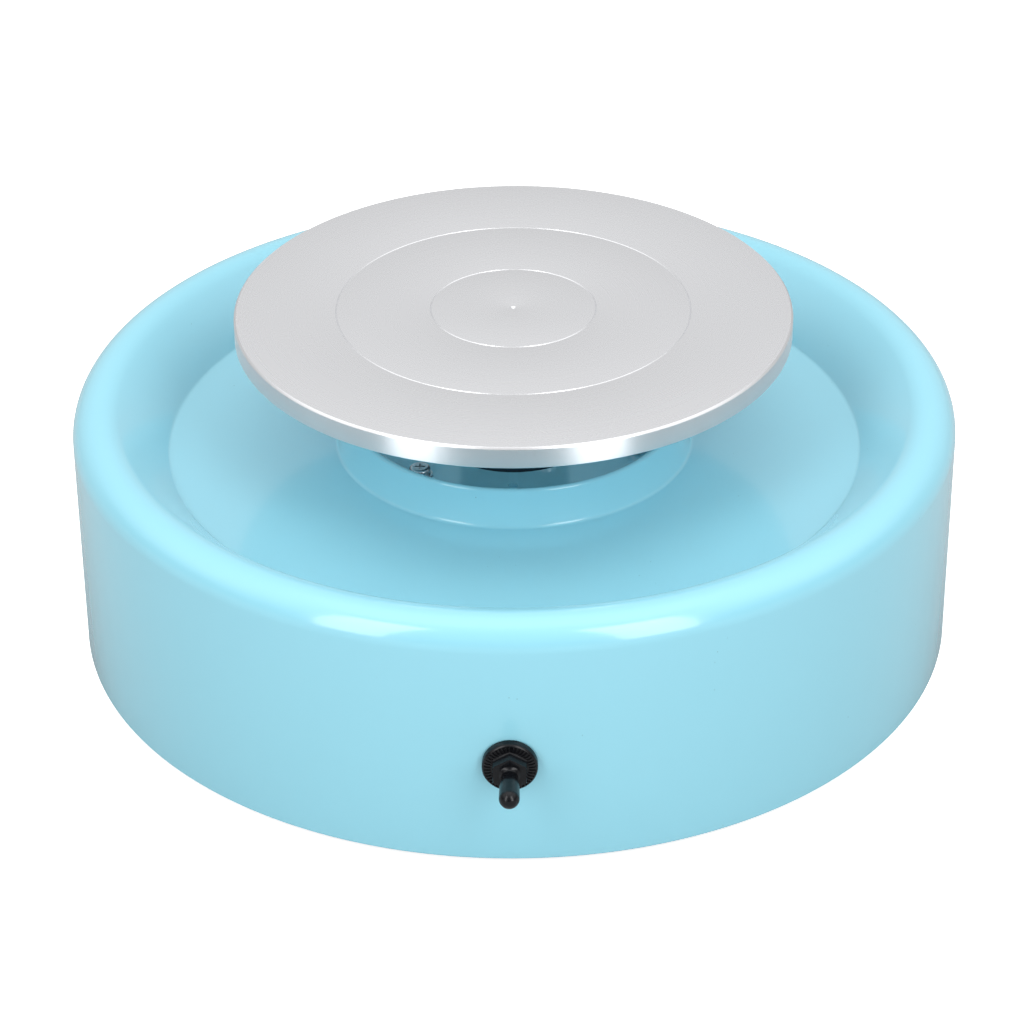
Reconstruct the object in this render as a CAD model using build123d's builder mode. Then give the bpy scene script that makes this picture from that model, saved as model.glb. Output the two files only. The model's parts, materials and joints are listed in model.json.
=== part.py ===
"""Tabletop pottery wheel: a moulded basin, a turned wheel head on a spindle, and the geared motor under it.

Millimetres, +Z up. The origin is on the table, on the spin axis. -Y is the front, where the switch is.
"""

from build123d import *

import math
import os

os.makedirs("parts", exist_ok=True)

# ---- driving dimensions ------------------------------------------------------------------------------

# basin
basin_radius = 120.0
rim_height = 69.4  # basin's bottom edge to the top of the rim
rim_nose_radius = 7.7
rim_slope_start = 40.0  # degrees below level, where the nose runs into the inner slope
floor_height = 54.3  # basin's bottom edge to the floor that catches the water
rim_width = 25.6  # outer wall to the crease, where the inner slope meets the floor
wall = 3.0
collar_height = 10.0  # floor to the collar's lip
collar_top_radius = 45.6
collar_foot_radius = 48.4
collar_lip = 1.9
deck_rise = 1.7  # the deck inside the collar stands this much over the floor
deck_hole_radius = 22.0
gate_circle = 29.2  # the dimple in the deck where the moulding was gated
collar_draft = 0.5

# bottom
foot_standing = 3.0  # how far the feet stand below the basin's bottom edge
foot_radius = 10.0
foot_circle = 92.0
foot_count = 4
cover_thickness = 2.5
cover_gap = 0.5  # round the cover's edge
cover_boss_radius = 4.5
cover_screw_radius = 1.5
cover_screw_count = 6
cover_screw_start = 0.0  # degrees; the switch and the inlet stand midway between two screws
cover_screw_length = 12.0
vent_circle = 58.0
vent_count = 12
vent_length = 14.0
vent_width = 3.0

# wheel head and its hub
head_radius = 75.0
head_thickness = 6.0
head_edge = 0.55  # chamfer of the top edge
groove_radii = (22.2, 47.6)
groove_width = 0.4
groove_depth = 0.25
centre_dot_radius = 0.8
hub_flange_radius = 21.0
hub_flange_thickness = 4.0
hub_neck_radius = 11.0
hub_neck_length = 5.2
hub_screw_circle = 16.0
hub_screw_count = 4
hub_screw_radius = 2.0
spindle_radius = 6.0
spigot = 1.8  # how far the spindle reaches into the wheel head

# bearings (12 x 24 x 6) and their block
bearing_outer_radius = 12.0
bearing_width = 6.0
bearing_ring = 1.9  # radial thickness of each ring
ball_radius = 1.45
ball_count = 9
race_clearance = 0.2
shield_thickness = 0.3
bearing_spread = 5.0  # between the two bearings
block_flange_radius = 21.0
block_flange_thickness = 3.5
block_wall = 2.0
block_screw_circle = 17.5
block_screw_radius = 1.5
circlip_thickness = 1.0
circlip_width = 1.6
circlip_bite = 0.6
seal_height = 2.75
seal_gap = 0.1  # between the seal and the hub

# motor plate and the screws through the deck
plate_radius = 40.0
plate_thickness = 3.0
deck_screw_circle = 34.5
deck_screw_radius = 1.5
deck_screw_angles = (-136.5, -16.5, 103.5)
deck_screw_length = 12.0
washer_radius = 3.4
washer_thickness = 0.6

# gear motor, with its output shaft off the centre
gearbox_length = 18.0
gearbox_skin = 1.2
gearbox_face = 2.0
gearbox_back = 1.5
shaft_offset = 7.0
boss_radius = 6.0
boss_height = 5.5
output_shaft_radius = 3.0
output_shaft_length = 20.0  # from the gearbox's face
shaft_flat = 2.5  # from the shaft's axis to its flat
gear_room = 0.9  # between the output gear and the case
screw_inset = 3.0  # case's outside to the circle of its screws
mount_screw_radius = 1.5
post_radius = 2.2
post_spacing = 40.0  # degrees from a gear's pin to the post beside it
lone_post_angle = 290.0
motor_radius = 17.25
motor_length = 24.0
motor_skin = 1.0
armature_radius = 12.0
armature_poles = 5
air_gap = 0.8
rotor_shaft_radius = 1.0
commutator_radius = 3.5

# gear train
module = 0.5
pinion_teeth = 12
wheel_teeth = 27
output_teeth = 36
pressure_angle = 20.0
addendum = 0.8  # stub teeth, in modules
dedendum = 1.1  # in modules
backlash = 0.08  # taken off each tooth at the pitch circle
end_play = 0.5
gear_layers = 3
gear_pin_radius = 1.0

# switch
switch_height = 29.7  # above the basin's bottom edge
boot_flange_radius = 7.0
boot_flange_thickness = 2.4
boot_hex_across = 8.5
boot_hex_length = 2.9
boot_sleeve_radius = 2.6
boot_sleeve_root = 6.2  # where the moving sleeve starts, from the wall
lever_reach = 16.2  # tip of the sleeve, from the wall
lever_radius = 1.3
bushing_radius = 3.0
bushing_bore = 2.2
lever_pin_radius = 0.5
lever_swing = 0.5  # room round the lever's tail in the switch's frame
switch_body_width = 11.4
switch_body_height = 13.2
switch_body_depth = 9.6
serration_count = 40

# power inlet, at the back
inlet_height = 22.0  # above the basin's bottom edge
inlet_barrel_radius = 4.0
inlet_socket_radius = 3.15
inlet_pin_radius = 1.0
inlet_flange_radius = 6.0
inlet_depth = 9.0

# fits
running = 0.05  # radial, shaft in a bush
slip = 0.2  # radial, screw in its clearance hole
body_gap = 0.3  # between pieces that turn against each other
wire_radius = 0.8

# ---- levels and radii that follow ----------------------------------------------------------------------

crease_radius = basin_radius - rim_width
basin_bottom = foot_standing
floor_z = basin_bottom + floor_height
rim_z = basin_bottom + rim_height
deck_z = floor_z + deck_rise
deck_under = deck_z - wall
collar_z = floor_z + collar_height
cover_top = basin_bottom + cover_thickness
cover_radius = basin_radius - wall - cover_gap
cover_boss_circle = basin_radius - wall - cover_boss_radius - cover_gap
cover_boss_top = floor_z + 8.0

plate_bottom = deck_under - plate_thickness
block_top_of_flange = deck_under + block_flange_thickness
lower_circlip_z = plate_bottom + boss_height + body_gap + running
lower_bearing_z = lower_circlip_z + circlip_thickness
upper_bearing_z = lower_bearing_z + bearing_width + bearing_spread
upper_circlip_z = upper_bearing_z + bearing_width
block_top = upper_circlip_z + 2 * circlip_thickness
block_radius = bearing_outer_radius + block_wall

seal_bottom = block_top + body_gap
hub_bottom = seal_bottom + seal_height + seal_gap
hub_flange_bottom = hub_bottom + hub_neck_length
head_bottom = hub_flange_bottom + hub_flange_thickness
head_top = head_bottom + head_thickness
ball_circle = (spindle_radius + bearing_outer_radius) / 2

output_tip = module * (output_teeth / 2 + addendum)
gearbox_radius = shaft_offset + output_tip + gear_room + gearbox_skin
mount_screw_circle = gearbox_radius - screw_inset
gearbox_bottom = plate_bottom - gearbox_length
gearbox_floor = gearbox_bottom + gearbox_back
gearbox_roof = plate_bottom - gearbox_face
motor_bottom = gearbox_bottom - motor_length
motor_x = -shaft_offset  # the motor's axis; the output shaft is on the spin axis
shaft_top = plate_bottom + output_shaft_length

ON_TOP = (Align.CENTER, Align.CENTER, Align.MIN)
BELOW = (Align.CENTER, Align.CENTER, Align.MAX)


def export(part, name):
    """Labels a finished piece and writes it to its own file."""
    part.label = name
    export_step(part, f"parts/{name}.step")


def pan_screw(x, y, seat_z, radius, length, head_radius, head_height, up=True):
    """A pan head screw whose head sits on seat_z. up: the head is above its seat and the shank hangs down."""
    sign = 1 if up else -1
    head_side = ON_TOP if up else BELOW
    shank_side = BELOW if up else ON_TOP
    with BuildPart() as screw:
        with Locations((x, y, seat_z)):
            Cylinder(head_radius, head_height, align=head_side)
        crown = screw.faces().sort_by(Axis.Z)[-1 if up else 0]
        fillet(crown.edges(), head_height * 0.4)
        with Locations((x, y, seat_z)):
            Cylinder(radius, length, align=shank_side)
        with Locations((x, y, seat_z + sign * head_height)):
            for turn in (0, 90):
                Box(
                    head_radius, head_radius * 0.2, head_height, rotation=(0, 0, turn),
                    mode=Mode.SUBTRACT,
                )
    return screw.part


def flat_screw(x, y, face_z, radius, length, head_radius, up=True):
    """A countersunk screw whose head is flush with face_z. up: it is driven from above."""
    sign = 1 if up else -1
    depth = head_radius - radius
    with BuildPart() as screw:
        with BuildSketch(Plane((x, y, face_z), x_dir=(1, 0, 0), z_dir=(0, -1, 0))):
            with BuildLine():
                Polyline(
                    (0, 0), (head_radius, 0), (radius, -sign * depth), (radius, -sign * length),
                    (0, -sign * length), close=True,
                )
            make_face()
        revolve(axis=Axis((x, y, 0), (0, 0, 1)))
        with Locations((x, y, face_z)):
            for turn in (0, 90):
                Box(
                    head_radius, head_radius * 0.2, depth * 1.2, rotation=(0, 0, turn),
                    mode=Mode.SUBTRACT,
                )
    return screw.part


def gear_outline(teeth, phase):
    """Arcs of one gear: per tooth, its two flanks, its tip and its root, as (start, middle, end)."""
    pitch_r = module * teeth / 2
    base_r = pitch_r * math.cos(math.radians(pressure_angle))
    tip_r = pitch_r + addendum * module
    root_r = pitch_r - dedendum * module
    half_tooth = math.pi / (2 * teeth) - backlash / (2 * pitch_r)

    def involute(radius):
        roll = math.sqrt(max((radius / base_r) ** 2 - 1, 0.0))
        return roll - math.atan(roll)

    def flank_angle(radius):
        return half_tooth + involute(pitch_r) - involute(max(radius, base_r))

    def at(radius, angle):
        return (radius * math.cos(angle), radius * math.sin(angle))

    arcs = []
    step = 2 * math.pi / teeth
    middle_r = (root_r + tip_r) / 2
    for i in range(teeth):
        centre = phase + i * step
        root, mid, tip = (flank_angle(r) for r in (root_r, middle_r, tip_r))
        following = centre + step
        arcs.append((at(root_r, centre - root), at(middle_r, centre - mid), at(tip_r, centre - tip)))
        arcs.append((at(tip_r, centre - tip), at(tip_r, centre), at(tip_r, centre + tip)))
        arcs.append((at(tip_r, centre + tip), at(middle_r, centre + mid), at(root_r, centre + root)))
        arcs.append(
            (at(root_r, centre + root), at(root_r, centre + step / 2), at(root_r, following - root))
        )
    return arcs


def gear_solid(teeth, phase, x, y, z, width, bore):
    """A spur gear on the axis (x, y), from z up, with one tooth at the angle phase."""
    with BuildPart() as gear:
        with BuildSketch(Plane((x, y, z))):
            with BuildLine():
                for start, middle, end in gear_outline(teeth, phase):
                    ThreePointArc(start, middle, end)
            make_face()
            Circle(bore, mode=Mode.SUBTRACT)
        extrude(amount=width)
    return gear.part


def meshing_phase(phase, teeth, direction, mate_teeth):
    """The mate's phase, for its teeth to stand in the gaps of a gear that it touches in that direction."""
    offset = (phase - direction) * teeth / (2 * math.pi)
    return direction + math.pi + (0.5 - offset) * 2 * math.pi / mate_teeth


def tube(points, radius, bends):
    """A wire along straight runs and tangent arcs."""
    with BuildPart() as wire:
        with BuildLine() as route:
            FilletPolyline(*points, radius=bends)
        with BuildSketch(Plane(origin=route.line @ 0, z_dir=route.line % 0)):
            Circle(radius)
        sweep()
    return wire.part


# ---- basin ---------------------------------------------------------------------------------------------

nose_r = basin_radius - rim_nose_radius
nose_z = rim_z - rim_nose_radius
start = math.radians(rim_slope_start)
slope_top = (nose_r - rim_nose_radius * math.sin(start), nose_z + rim_nose_radius * math.cos(start))
chord = math.dist(slope_top, (crease_radius, floor_z))
chord_angle = math.atan2(slope_top[1] - floor_z, slope_top[0] - crease_radius)
slope_radius = chord / (2 * math.sin(chord_angle - start))
slope_centre = (
    nose_r + (slope_radius - rim_nose_radius) * math.sin(start),
    nose_z - (slope_radius - rim_nose_radius) * math.cos(start),
)
floor_under = floor_z - wall
inner_slope = slope_radius - wall
under_angle = math.acos((floor_under - slope_centre[1]) / inner_slope)
under_crease = slope_centre[0] - inner_slope * math.sin(under_angle)
inner_nose = rim_nose_radius - wall
under_top = (nose_r - inner_nose * math.sin(start), nose_z + inner_nose * math.cos(start))
collar_inner_top = collar_top_radius - collar_lip
collar_inner_foot = collar_inner_top + collar_draft
deck_step = collar_foot_radius - wall / 2
lip = collar_lip / 2

switch_z = basin_bottom + switch_height
switch_face = basin_radius - 0.25  # the flat that the switch sits on, just under the curve
pad_face = basin_radius - wall - 0.8  # the flat inside the wall for a nut
pad_radius = 9.0
inlet_z = basin_bottom + inlet_height

with BuildPart() as housing_shell:
    with BuildSketch(Plane.XZ):
        with BuildLine():
            outside = Line((basin_radius, basin_bottom), (basin_radius, nose_z))
            nose = CenterArc((nose_r, nose_z), rim_nose_radius, 0, 90 + rim_slope_start)
            slope = RadiusArc(slope_top, (crease_radius, floor_z), -slope_radius)
            collar = Polyline(
                (crease_radius, floor_z), (collar_foot_radius, floor_z),
                (collar_top_radius, collar_z - lip),
            )
            lip_round = ThreePointArc(
                (collar_top_radius, collar_z - lip), (collar_top_radius - lip, collar_z),
                (collar_inner_top, collar_z - lip),
            )
            inside = Polyline(
                (collar_inner_top, collar_z - lip), (collar_inner_foot, deck_z),
                (deck_hole_radius, deck_z), (deck_hole_radius, deck_under),
                (deck_step, deck_under), (deck_step, floor_under), (under_crease, floor_under),
            )
            under_slope = RadiusArc((under_crease, floor_under), under_top, inner_slope)
            under_nose = CenterArc(
                (nose_r, nose_z), inner_nose, 90 + rim_slope_start, -(90 + rim_slope_start)
            )
            back = Polyline(
                (basin_radius - wall, nose_z), (basin_radius - wall, basin_bottom),
                (basin_radius, basin_bottom),
            )
        make_face()
    revolve(axis=Axis.Z)
    # bosses for the cover's screws, each with a web to the wall
    with PolarLocations(cover_boss_circle, cover_screw_count, start_angle=cover_screw_start):
        with Locations((0, 0, cover_top)):
            Cylinder(cover_boss_radius, cover_boss_top - cover_top, align=ON_TOP)
            Box(
                cover_boss_radius + cover_gap + 1, 3, nose_z - cover_top,
                align=(Align.MIN, Align.CENTER, Align.MIN),
            )
        with Locations((0, 0, cover_top)):
            Cylinder(cover_screw_radius, cover_screw_length, align=ON_TOP, mode=Mode.SUBTRACT)
    # pads inside the wall, for the nuts of the switch and the power inlet
    with BuildSketch(Plane.XZ.offset(pad_face)):
        with Locations((0, switch_z)):
            Circle(pad_radius)
    extrude(amount=basin_radius - wall / 2 - pad_face)
    with BuildSketch(Plane.XZ.offset(-pad_face)):
        with Locations((0, inlet_z)):
            Circle(pad_radius)
    extrude(amount=-(basin_radius - wall / 2 - pad_face))
    # the switch's flat and hole, the inlet's flat and hole
    with BuildSketch(Plane.XZ.offset(switch_face)):
        with Locations((0, switch_z)):
            Circle(boot_flange_radius + slip)
    extrude(amount=wall, mode=Mode.SUBTRACT)
    with BuildSketch(Plane.XZ.offset(pad_face - 1)):
        with Locations((0, switch_z)):
            Circle(bushing_radius + slip)
    extrude(amount=2 * wall, mode=Mode.SUBTRACT)
    with BuildSketch(Plane.XZ.offset(-switch_face)):
        with Locations((0, inlet_z)):
            Circle(inlet_flange_radius + slip)
    extrude(amount=-wall, mode=Mode.SUBTRACT)
    with BuildSketch(Plane.XZ.offset(-pad_face + 1)):
        with Locations((0, inlet_z)):
            Circle(inlet_barrel_radius + slip)
    extrude(amount=-2 * wall, mode=Mode.SUBTRACT)
    # screw holes in the deck, and the dimple where the moulding was gated
    for angle in deck_screw_angles:
        with Locations(Vector(deck_screw_circle, 0, deck_z).rotate(Axis.Z, angle)):
            Cylinder(deck_screw_radius + slip, 3 * wall, mode=Mode.SUBTRACT)
    with Locations((0, -gate_circle, deck_z)):
        Cylinder(1.3, 2.4, mode=Mode.SUBTRACT)
export(housing_shell.part, "housing_shell")

# ---- bottom --------------------------------------------------------------------------------------------

stem_radius = foot_radius * 0.3
stem_head = 1.2  # how far the stem's head stands out round the hole

with BuildPart() as bottom_cover:
    with Locations((0, 0, basin_bottom)):
        Cylinder(cover_radius, cover_thickness, align=ON_TOP)
    with PolarLocations(cover_boss_circle, cover_screw_count, start_angle=cover_screw_start):
        with Locations((0, 0, basin_bottom)):
            Cylinder(
                cover_screw_radius + slip, cover_thickness, align=ON_TOP, mode=Mode.SUBTRACT
            )
            Cone(
                cover_screw_radius * 2, cover_screw_radius, cover_screw_radius,
                align=ON_TOP, mode=Mode.SUBTRACT,
            )
    with PolarLocations(foot_circle, foot_count, start_angle=45):
        with Locations((0, 0, basin_bottom)):
            Cylinder(stem_radius, cover_thickness, align=ON_TOP, mode=Mode.SUBTRACT)
    with BuildSketch(Plane.XY.offset(basin_bottom)):
        with PolarLocations(vent_circle, vent_count):
            SlotOverall(vent_length, vent_width)
    extrude(amount=cover_thickness, mode=Mode.SUBTRACT)
export(bottom_cover.part, "bottom_cover")

with BuildPart() as rubber_feet:
    with PolarLocations(foot_circle, foot_count, start_angle=45):
        Cylinder(foot_radius, foot_standing, align=ON_TOP)
    rims = rubber_feet.edges().filter_by(GeomType.CIRCLE).group_by(Axis.Z)[0]
    fillet(rims, 0.8)
    with PolarLocations(foot_circle, foot_count, start_angle=45):
        with Locations((0, 0, foot_standing)):
            Cylinder(stem_radius, cover_thickness, align=ON_TOP)
        with Locations((0, 0, cover_top)):
            Cone(stem_radius + stem_head, stem_radius * 0.6, 3.0, align=ON_TOP)
export(rubber_feet.part, "rubber_feet")

with BuildPart() as cover_screws:
    for i in range(cover_screw_count):
        angle = math.radians(cover_screw_start + i * 360 / cover_screw_count)
        add(
            flat_screw(
                cover_boss_circle * math.cos(angle), cover_boss_circle * math.sin(angle),
                basin_bottom, cover_screw_radius, cover_screw_length, cover_screw_radius * 2, up=False,
            )
        )
export(cover_screws.part, "cover_screws")

# ---- wheel head and hub --------------------------------------------------------------------------------

recess_radius = spindle_radius + 0.1
recess_top = head_bottom + spigot + slip
under_edge = 0.3
hub_thread = 4.0  # how far the hub screws go into the wheel head

with BuildPart() as wheel_head:
    with BuildSketch(Plane.XZ):
        with BuildLine():
            Polyline(
                (0, recess_top), (recess_radius, recess_top), (recess_radius, head_bottom),
                (head_radius - under_edge, head_bottom), (head_radius, head_bottom + under_edge),
                (head_radius, head_top - head_edge),
                (head_radius - head_edge, head_top), (centre_dot_radius, head_top),
                (0, head_top - centre_dot_radius), close=True,
            )
        make_face()
        for radius in groove_radii:
            with BuildLine():
                Polyline(
                    (radius - groove_width / 2, head_top), (radius, head_top - groove_depth),
                    (radius + groove_width / 2, head_top), (radius, head_top + groove_depth),
                    close=True,
                )
            make_face(mode=Mode.SUBTRACT)
    revolve(axis=Axis.Z)
    with PolarLocations(hub_screw_circle, hub_screw_count, start_angle=45):
        with Locations((0, 0, head_bottom)):
            Cylinder(hub_screw_radius, hub_thread + slip, align=ON_TOP, mode=Mode.SUBTRACT)
export(wheel_head.part, "wheel_head")

set_screw_z = hub_bottom + hub_neck_length / 2
set_screw_radius = 1.5

with BuildPart() as hub_flange:
    with Locations((0, 0, hub_flange_bottom)):
        Cylinder(hub_flange_radius, hub_flange_thickness, align=ON_TOP)
    with Locations((0, 0, hub_bottom)):
        Cylinder(hub_neck_radius, hub_neck_length, align=ON_TOP)
    chamfer(hub_flange.edges().filter_by(GeomType.CIRCLE).group_by(Axis.Z)[0], 0.6)
    with Locations((0, 0, hub_bottom)):
        Cylinder(spindle_radius, 2 * head_thickness, align=ON_TOP, mode=Mode.SUBTRACT)
    with PolarLocations(hub_screw_circle, hub_screw_count, start_angle=45):
        with Locations((0, 0, hub_flange_bottom)):
            Cylinder(
                hub_screw_radius + slip, hub_flange_thickness, align=ON_TOP, mode=Mode.SUBTRACT
            )
    for angle in (0, 90):
        with BuildSketch(Plane.YZ.rotated((0, 0, angle)).offset(spindle_radius / 2)):
            with Locations((0, set_screw_z)):
                Circle(set_screw_radius)
        extrude(amount=hub_neck_radius, mode=Mode.SUBTRACT)
export(hub_flange.part, "hub_flange")

with BuildPart() as hub_screws:
    for i in range(hub_screw_count):
        angle = math.radians(45 + i * 360 / hub_screw_count)
        add(
            pan_screw(
                hub_screw_circle * math.cos(angle), hub_screw_circle * math.sin(angle),
                hub_flange_bottom, hub_screw_radius, hub_flange_thickness + hub_thread,
                hub_screw_radius * 1.7, hub_screw_radius, up=False,
            )
        )
export(hub_screws.part, "hub_screws")

with BuildPart() as hub_set_screws:
    for angle in (0, 90):
        with BuildSketch(Plane.YZ.rotated((0, 0, angle)).offset(spindle_radius + 0.02)):
            with Locations((0, set_screw_z)):
                Circle(set_screw_radius)
                RegularPolygon(set_screw_radius * 0.5, 6, mode=Mode.SUBTRACT)
        extrude(amount=hub_neck_radius - spindle_radius - 0.3)
export(hub_set_screws.part, "hub_set_screws")

# ---- spindle, bearings and block -----------------------------------------------------------------------

spindle_bottom = lower_circlip_z
spindle_bore_top = shaft_top + 0.5

with BuildPart() as spindle:
    with Locations((0, 0, spindle_bottom)):
        Cylinder(spindle_radius, head_bottom + spigot - spindle_bottom, align=ON_TOP)
    chamfer(spindle.edges().filter_by(GeomType.CIRCLE), 0.4)
    with BuildSketch(Plane.XY.offset(spindle_bottom)):
        Circle(output_shaft_radius + running)
        with Locations((shaft_flat + running, 0)):
            Rectangle(
                output_shaft_radius, 4 * output_shaft_radius,
                align=(Align.MIN, Align.CENTER), mode=Mode.SUBTRACT,
            )
    extrude(amount=spindle_bore_top - spindle_bottom, mode=Mode.SUBTRACT)
export(spindle.part, "spindle")

with BuildPart() as bearing_block:
    with Locations((0, 0, deck_under)):
        Cylinder(block_flange_radius, block_flange_thickness, align=ON_TOP)
        Cylinder(block_radius, block_top - deck_under, align=ON_TOP)
        Cylinder(bearing_outer_radius, block_top - deck_under, align=ON_TOP, mode=Mode.SUBTRACT)
    with Locations((0, 0, lower_bearing_z + bearing_width)):
        Cylinder(bearing_outer_radius, bearing_spread, align=ON_TOP)
        Cylinder(
            bearing_outer_radius - bearing_ring + 0.5, bearing_spread, align=ON_TOP, mode=Mode.SUBTRACT
        )
    for z in (lower_circlip_z, upper_circlip_z):
        with Locations((0, 0, z)):
            Cylinder(
                bearing_outer_radius + circlip_bite, circlip_thickness, align=ON_TOP, mode=Mode.SUBTRACT
            )
    with PolarLocations(block_screw_circle, 3, start_angle=60):
        with Locations((0, 0, deck_under)):
            Cylinder(
                block_screw_radius + slip, block_flange_thickness, align=ON_TOP, mode=Mode.SUBTRACT
            )
    rims = bearing_block.edges().filter_by(GeomType.CIRCLE).group_by(Axis.Z)[-1]
    chamfer(rims.sort_by(SortBy.RADIUS)[-1:], 0.5)
export(bearing_block.part, "bearing_block")

with BuildPart() as retaining_rings:
    for z in (lower_circlip_z, upper_circlip_z):
        with BuildSketch(Plane.XY.offset(z)):
            Circle(bearing_outer_radius + circlip_bite)
            Circle(bearing_outer_radius + circlip_bite - circlip_width, mode=Mode.SUBTRACT)
            with Locations((0, bearing_outer_radius)):
                Rectangle(5, 6, mode=Mode.SUBTRACT)
            with Locations((3.6, bearing_outer_radius - 1.6), (-3.6, bearing_outer_radius - 1.6)):
                Circle(1.3)
            with Locations((3.6, bearing_outer_radius - 1.6), (-3.6, bearing_outer_radius - 1.6)):
                Circle(0.6, mode=Mode.SUBTRACT)
        extrude(amount=circlip_thickness)
export(retaining_rings.part, "retaining_rings")

with BuildPart() as bearing_outer_rings:
    for z in (lower_bearing_z, upper_bearing_z):
        with BuildSketch(Plane.XZ):
            with Locations((bearing_outer_radius - bearing_ring / 2, z + bearing_width / 2)):
                Rectangle(bearing_ring, bearing_width)
            with Locations((ball_circle, z + bearing_width / 2)):
                Circle(ball_radius + race_clearance, mode=Mode.SUBTRACT)
        revolve(axis=Axis.Z)
export(bearing_outer_rings.part, "bearing_outer_rings")

with BuildPart() as bearing_inner_rings:
    for z in (lower_bearing_z, upper_bearing_z):
        with BuildSketch(Plane.XZ):
            with Locations((spindle_radius + bearing_ring / 2, z + bearing_width / 2)):
                Rectangle(bearing_ring, bearing_width)
            with Locations((ball_circle, z + bearing_width / 2)):
                Circle(ball_radius + race_clearance, mode=Mode.SUBTRACT)
        revolve(axis=Axis.Z)
export(bearing_inner_rings.part, "bearing_inner_rings")

with BuildPart() as bearing_balls:
    for z in (lower_bearing_z, upper_bearing_z):
        with PolarLocations(ball_circle, ball_count):
            with Locations((0, 0, z + bearing_width / 2)):
                Sphere(ball_radius)
export(bearing_balls.part, "bearing_balls")

shield_inner = spindle_radius + bearing_ring + body_gap
shield_outer = bearing_outer_radius - bearing_ring

with BuildPart() as bearing_shields:
    for z in (lower_bearing_z, upper_bearing_z):
        for lift in (0.1, bearing_width - 0.1 - shield_thickness):
            with BuildSketch(Plane.XY.offset(z + lift)):
                Circle(shield_outer)
                Circle(shield_inner, mode=Mode.SUBTRACT)
            extrude(amount=shield_thickness)
export(bearing_shields.part, "bearing_shields")

with BuildPart() as bearing_spacer:
    with Locations((0, 0, lower_bearing_z + bearing_width)):
        Cylinder(spindle_radius + bearing_ring - body_gap, bearing_spread, align=ON_TOP)
        Cylinder(spindle_radius, bearing_spread, align=ON_TOP, mode=Mode.SUBTRACT)
export(bearing_spacer.part, "bearing_spacer")

# a rubber ring gripping the spindle, with a lip that skims the block's top face
seal_top = seal_bottom + seal_height

with BuildPart() as shaft_seal:
    with BuildSketch(Plane.XZ):
        with BuildLine():
            Polyline(
                (spindle_radius, seal_bottom + 0.4), (spindle_radius + 2.0, seal_bottom + 0.4),
                (spindle_radius + 4.6, seal_bottom), (spindle_radius + 4.8, seal_bottom + 0.35),
                (spindle_radius + 2.4, seal_bottom + 1.1), (spindle_radius + 2.4, seal_top),
                (spindle_radius, seal_top), close=True,
            )
        make_face()
    revolve(axis=Axis.Z)
export(shaft_seal.part, "shaft_seal")

with BuildPart() as block_screws:
    for i in range(3):
        angle = math.radians(60 + i * 120)
        add(
            pan_screw(
                block_screw_circle * math.cos(angle), block_screw_circle * math.sin(angle),
                block_top_of_flange, block_screw_radius, block_flange_thickness + plate_thickness - slip,
                block_screw_radius * 1.8, block_screw_radius * 1.2,
            )
        )
export(block_screws.part, "block_screws")

# ---- motor plate ---------------------------------------------------------------------------------------

mount_angles = [30 + 60 * i for i in range(6)]
mount_places = [
    (
        motor_x + mount_screw_circle * math.cos(math.radians(a)),
        mount_screw_circle * math.sin(math.radians(a)),
    )
    for a in mount_angles
]
deck_places = [
    (
        deck_screw_circle * math.cos(math.radians(a)),
        deck_screw_circle * math.sin(math.radians(a)),
    )
    for a in deck_screw_angles
]
mount_head = mount_screw_radius * 1.9

with BuildPart() as motor_plate:
    with BuildSketch(Plane.XY.offset(plate_bottom)):
        Circle(plate_radius)
        Circle(boss_radius + slip, mode=Mode.SUBTRACT)
        with PolarLocations(block_screw_circle, 3, start_angle=60):
            Circle(block_screw_radius, mode=Mode.SUBTRACT)
        with Locations(*deck_places):
            Circle(deck_screw_radius + slip, mode=Mode.SUBTRACT)
        with Locations(*mount_places):
            Circle(mount_screw_radius, mode=Mode.SUBTRACT)
    extrude(amount=plate_thickness)
    for x, y in mount_places:
        with Locations((x, y, deck_under)):
            Cone(
                mount_screw_radius, mount_head, mount_head - mount_screw_radius,
                align=BELOW, mode=Mode.SUBTRACT,
            )
export(motor_plate.part, "motor_plate")

with BuildPart() as gearbox_mount_screws:
    for x, y in mount_places:
        add(
            flat_screw(
                x, y, deck_under, mount_screw_radius, plate_thickness + gearbox_face - slip, mount_head
            )
        )
export(gearbox_mount_screws.part, "gearbox_mount_screws")

with BuildPart() as deck_washers:
    with BuildSketch(Plane.XY.offset(deck_z)):
        with Locations(*deck_places):
            Circle(washer_radius)
            Circle(deck_screw_radius + slip, mode=Mode.SUBTRACT)
    extrude(amount=washer_thickness)
export(deck_washers.part, "deck_washers")

with BuildPart() as deck_screws:
    for x, y in deck_places:
        add(
            pan_screw(
                x, y, deck_z + washer_thickness, deck_screw_radius, deck_screw_length,
                deck_screw_radius * 1.87, deck_screw_radius * 1.4,
            )
        )
export(deck_screws.part, "deck_screws")

nut_height = deck_screw_radius * 1.6

with BuildPart() as deck_nuts:
    with BuildSketch(Plane.XY.offset(plate_bottom - nut_height)):
        with Locations(*deck_places):
            RegularPolygon(deck_screw_radius * 1.83, 6, major_radius=False)
            Circle(deck_screw_radius, mode=Mode.SUBTRACT)
    extrude(amount=nut_height)
export(deck_nuts.part, "deck_nuts")

# ---- gearbox -------------------------------------------------------------------------------------------

stage_distance = module * (pinion_teeth + wheel_teeth) / 2
output_distance = module * (pinion_teeth + output_teeth) / 2
# second pin: one stage from the motor's axis, and in mesh with the output gear
second_x = (stage_distance**2 - output_distance**2 + shaft_offset**2) / (2 * shaft_offset)
second_pin = (second_x, math.sqrt(stage_distance**2 - second_x**2))
second_angle = math.atan2(second_pin[1], second_pin[0])
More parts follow.
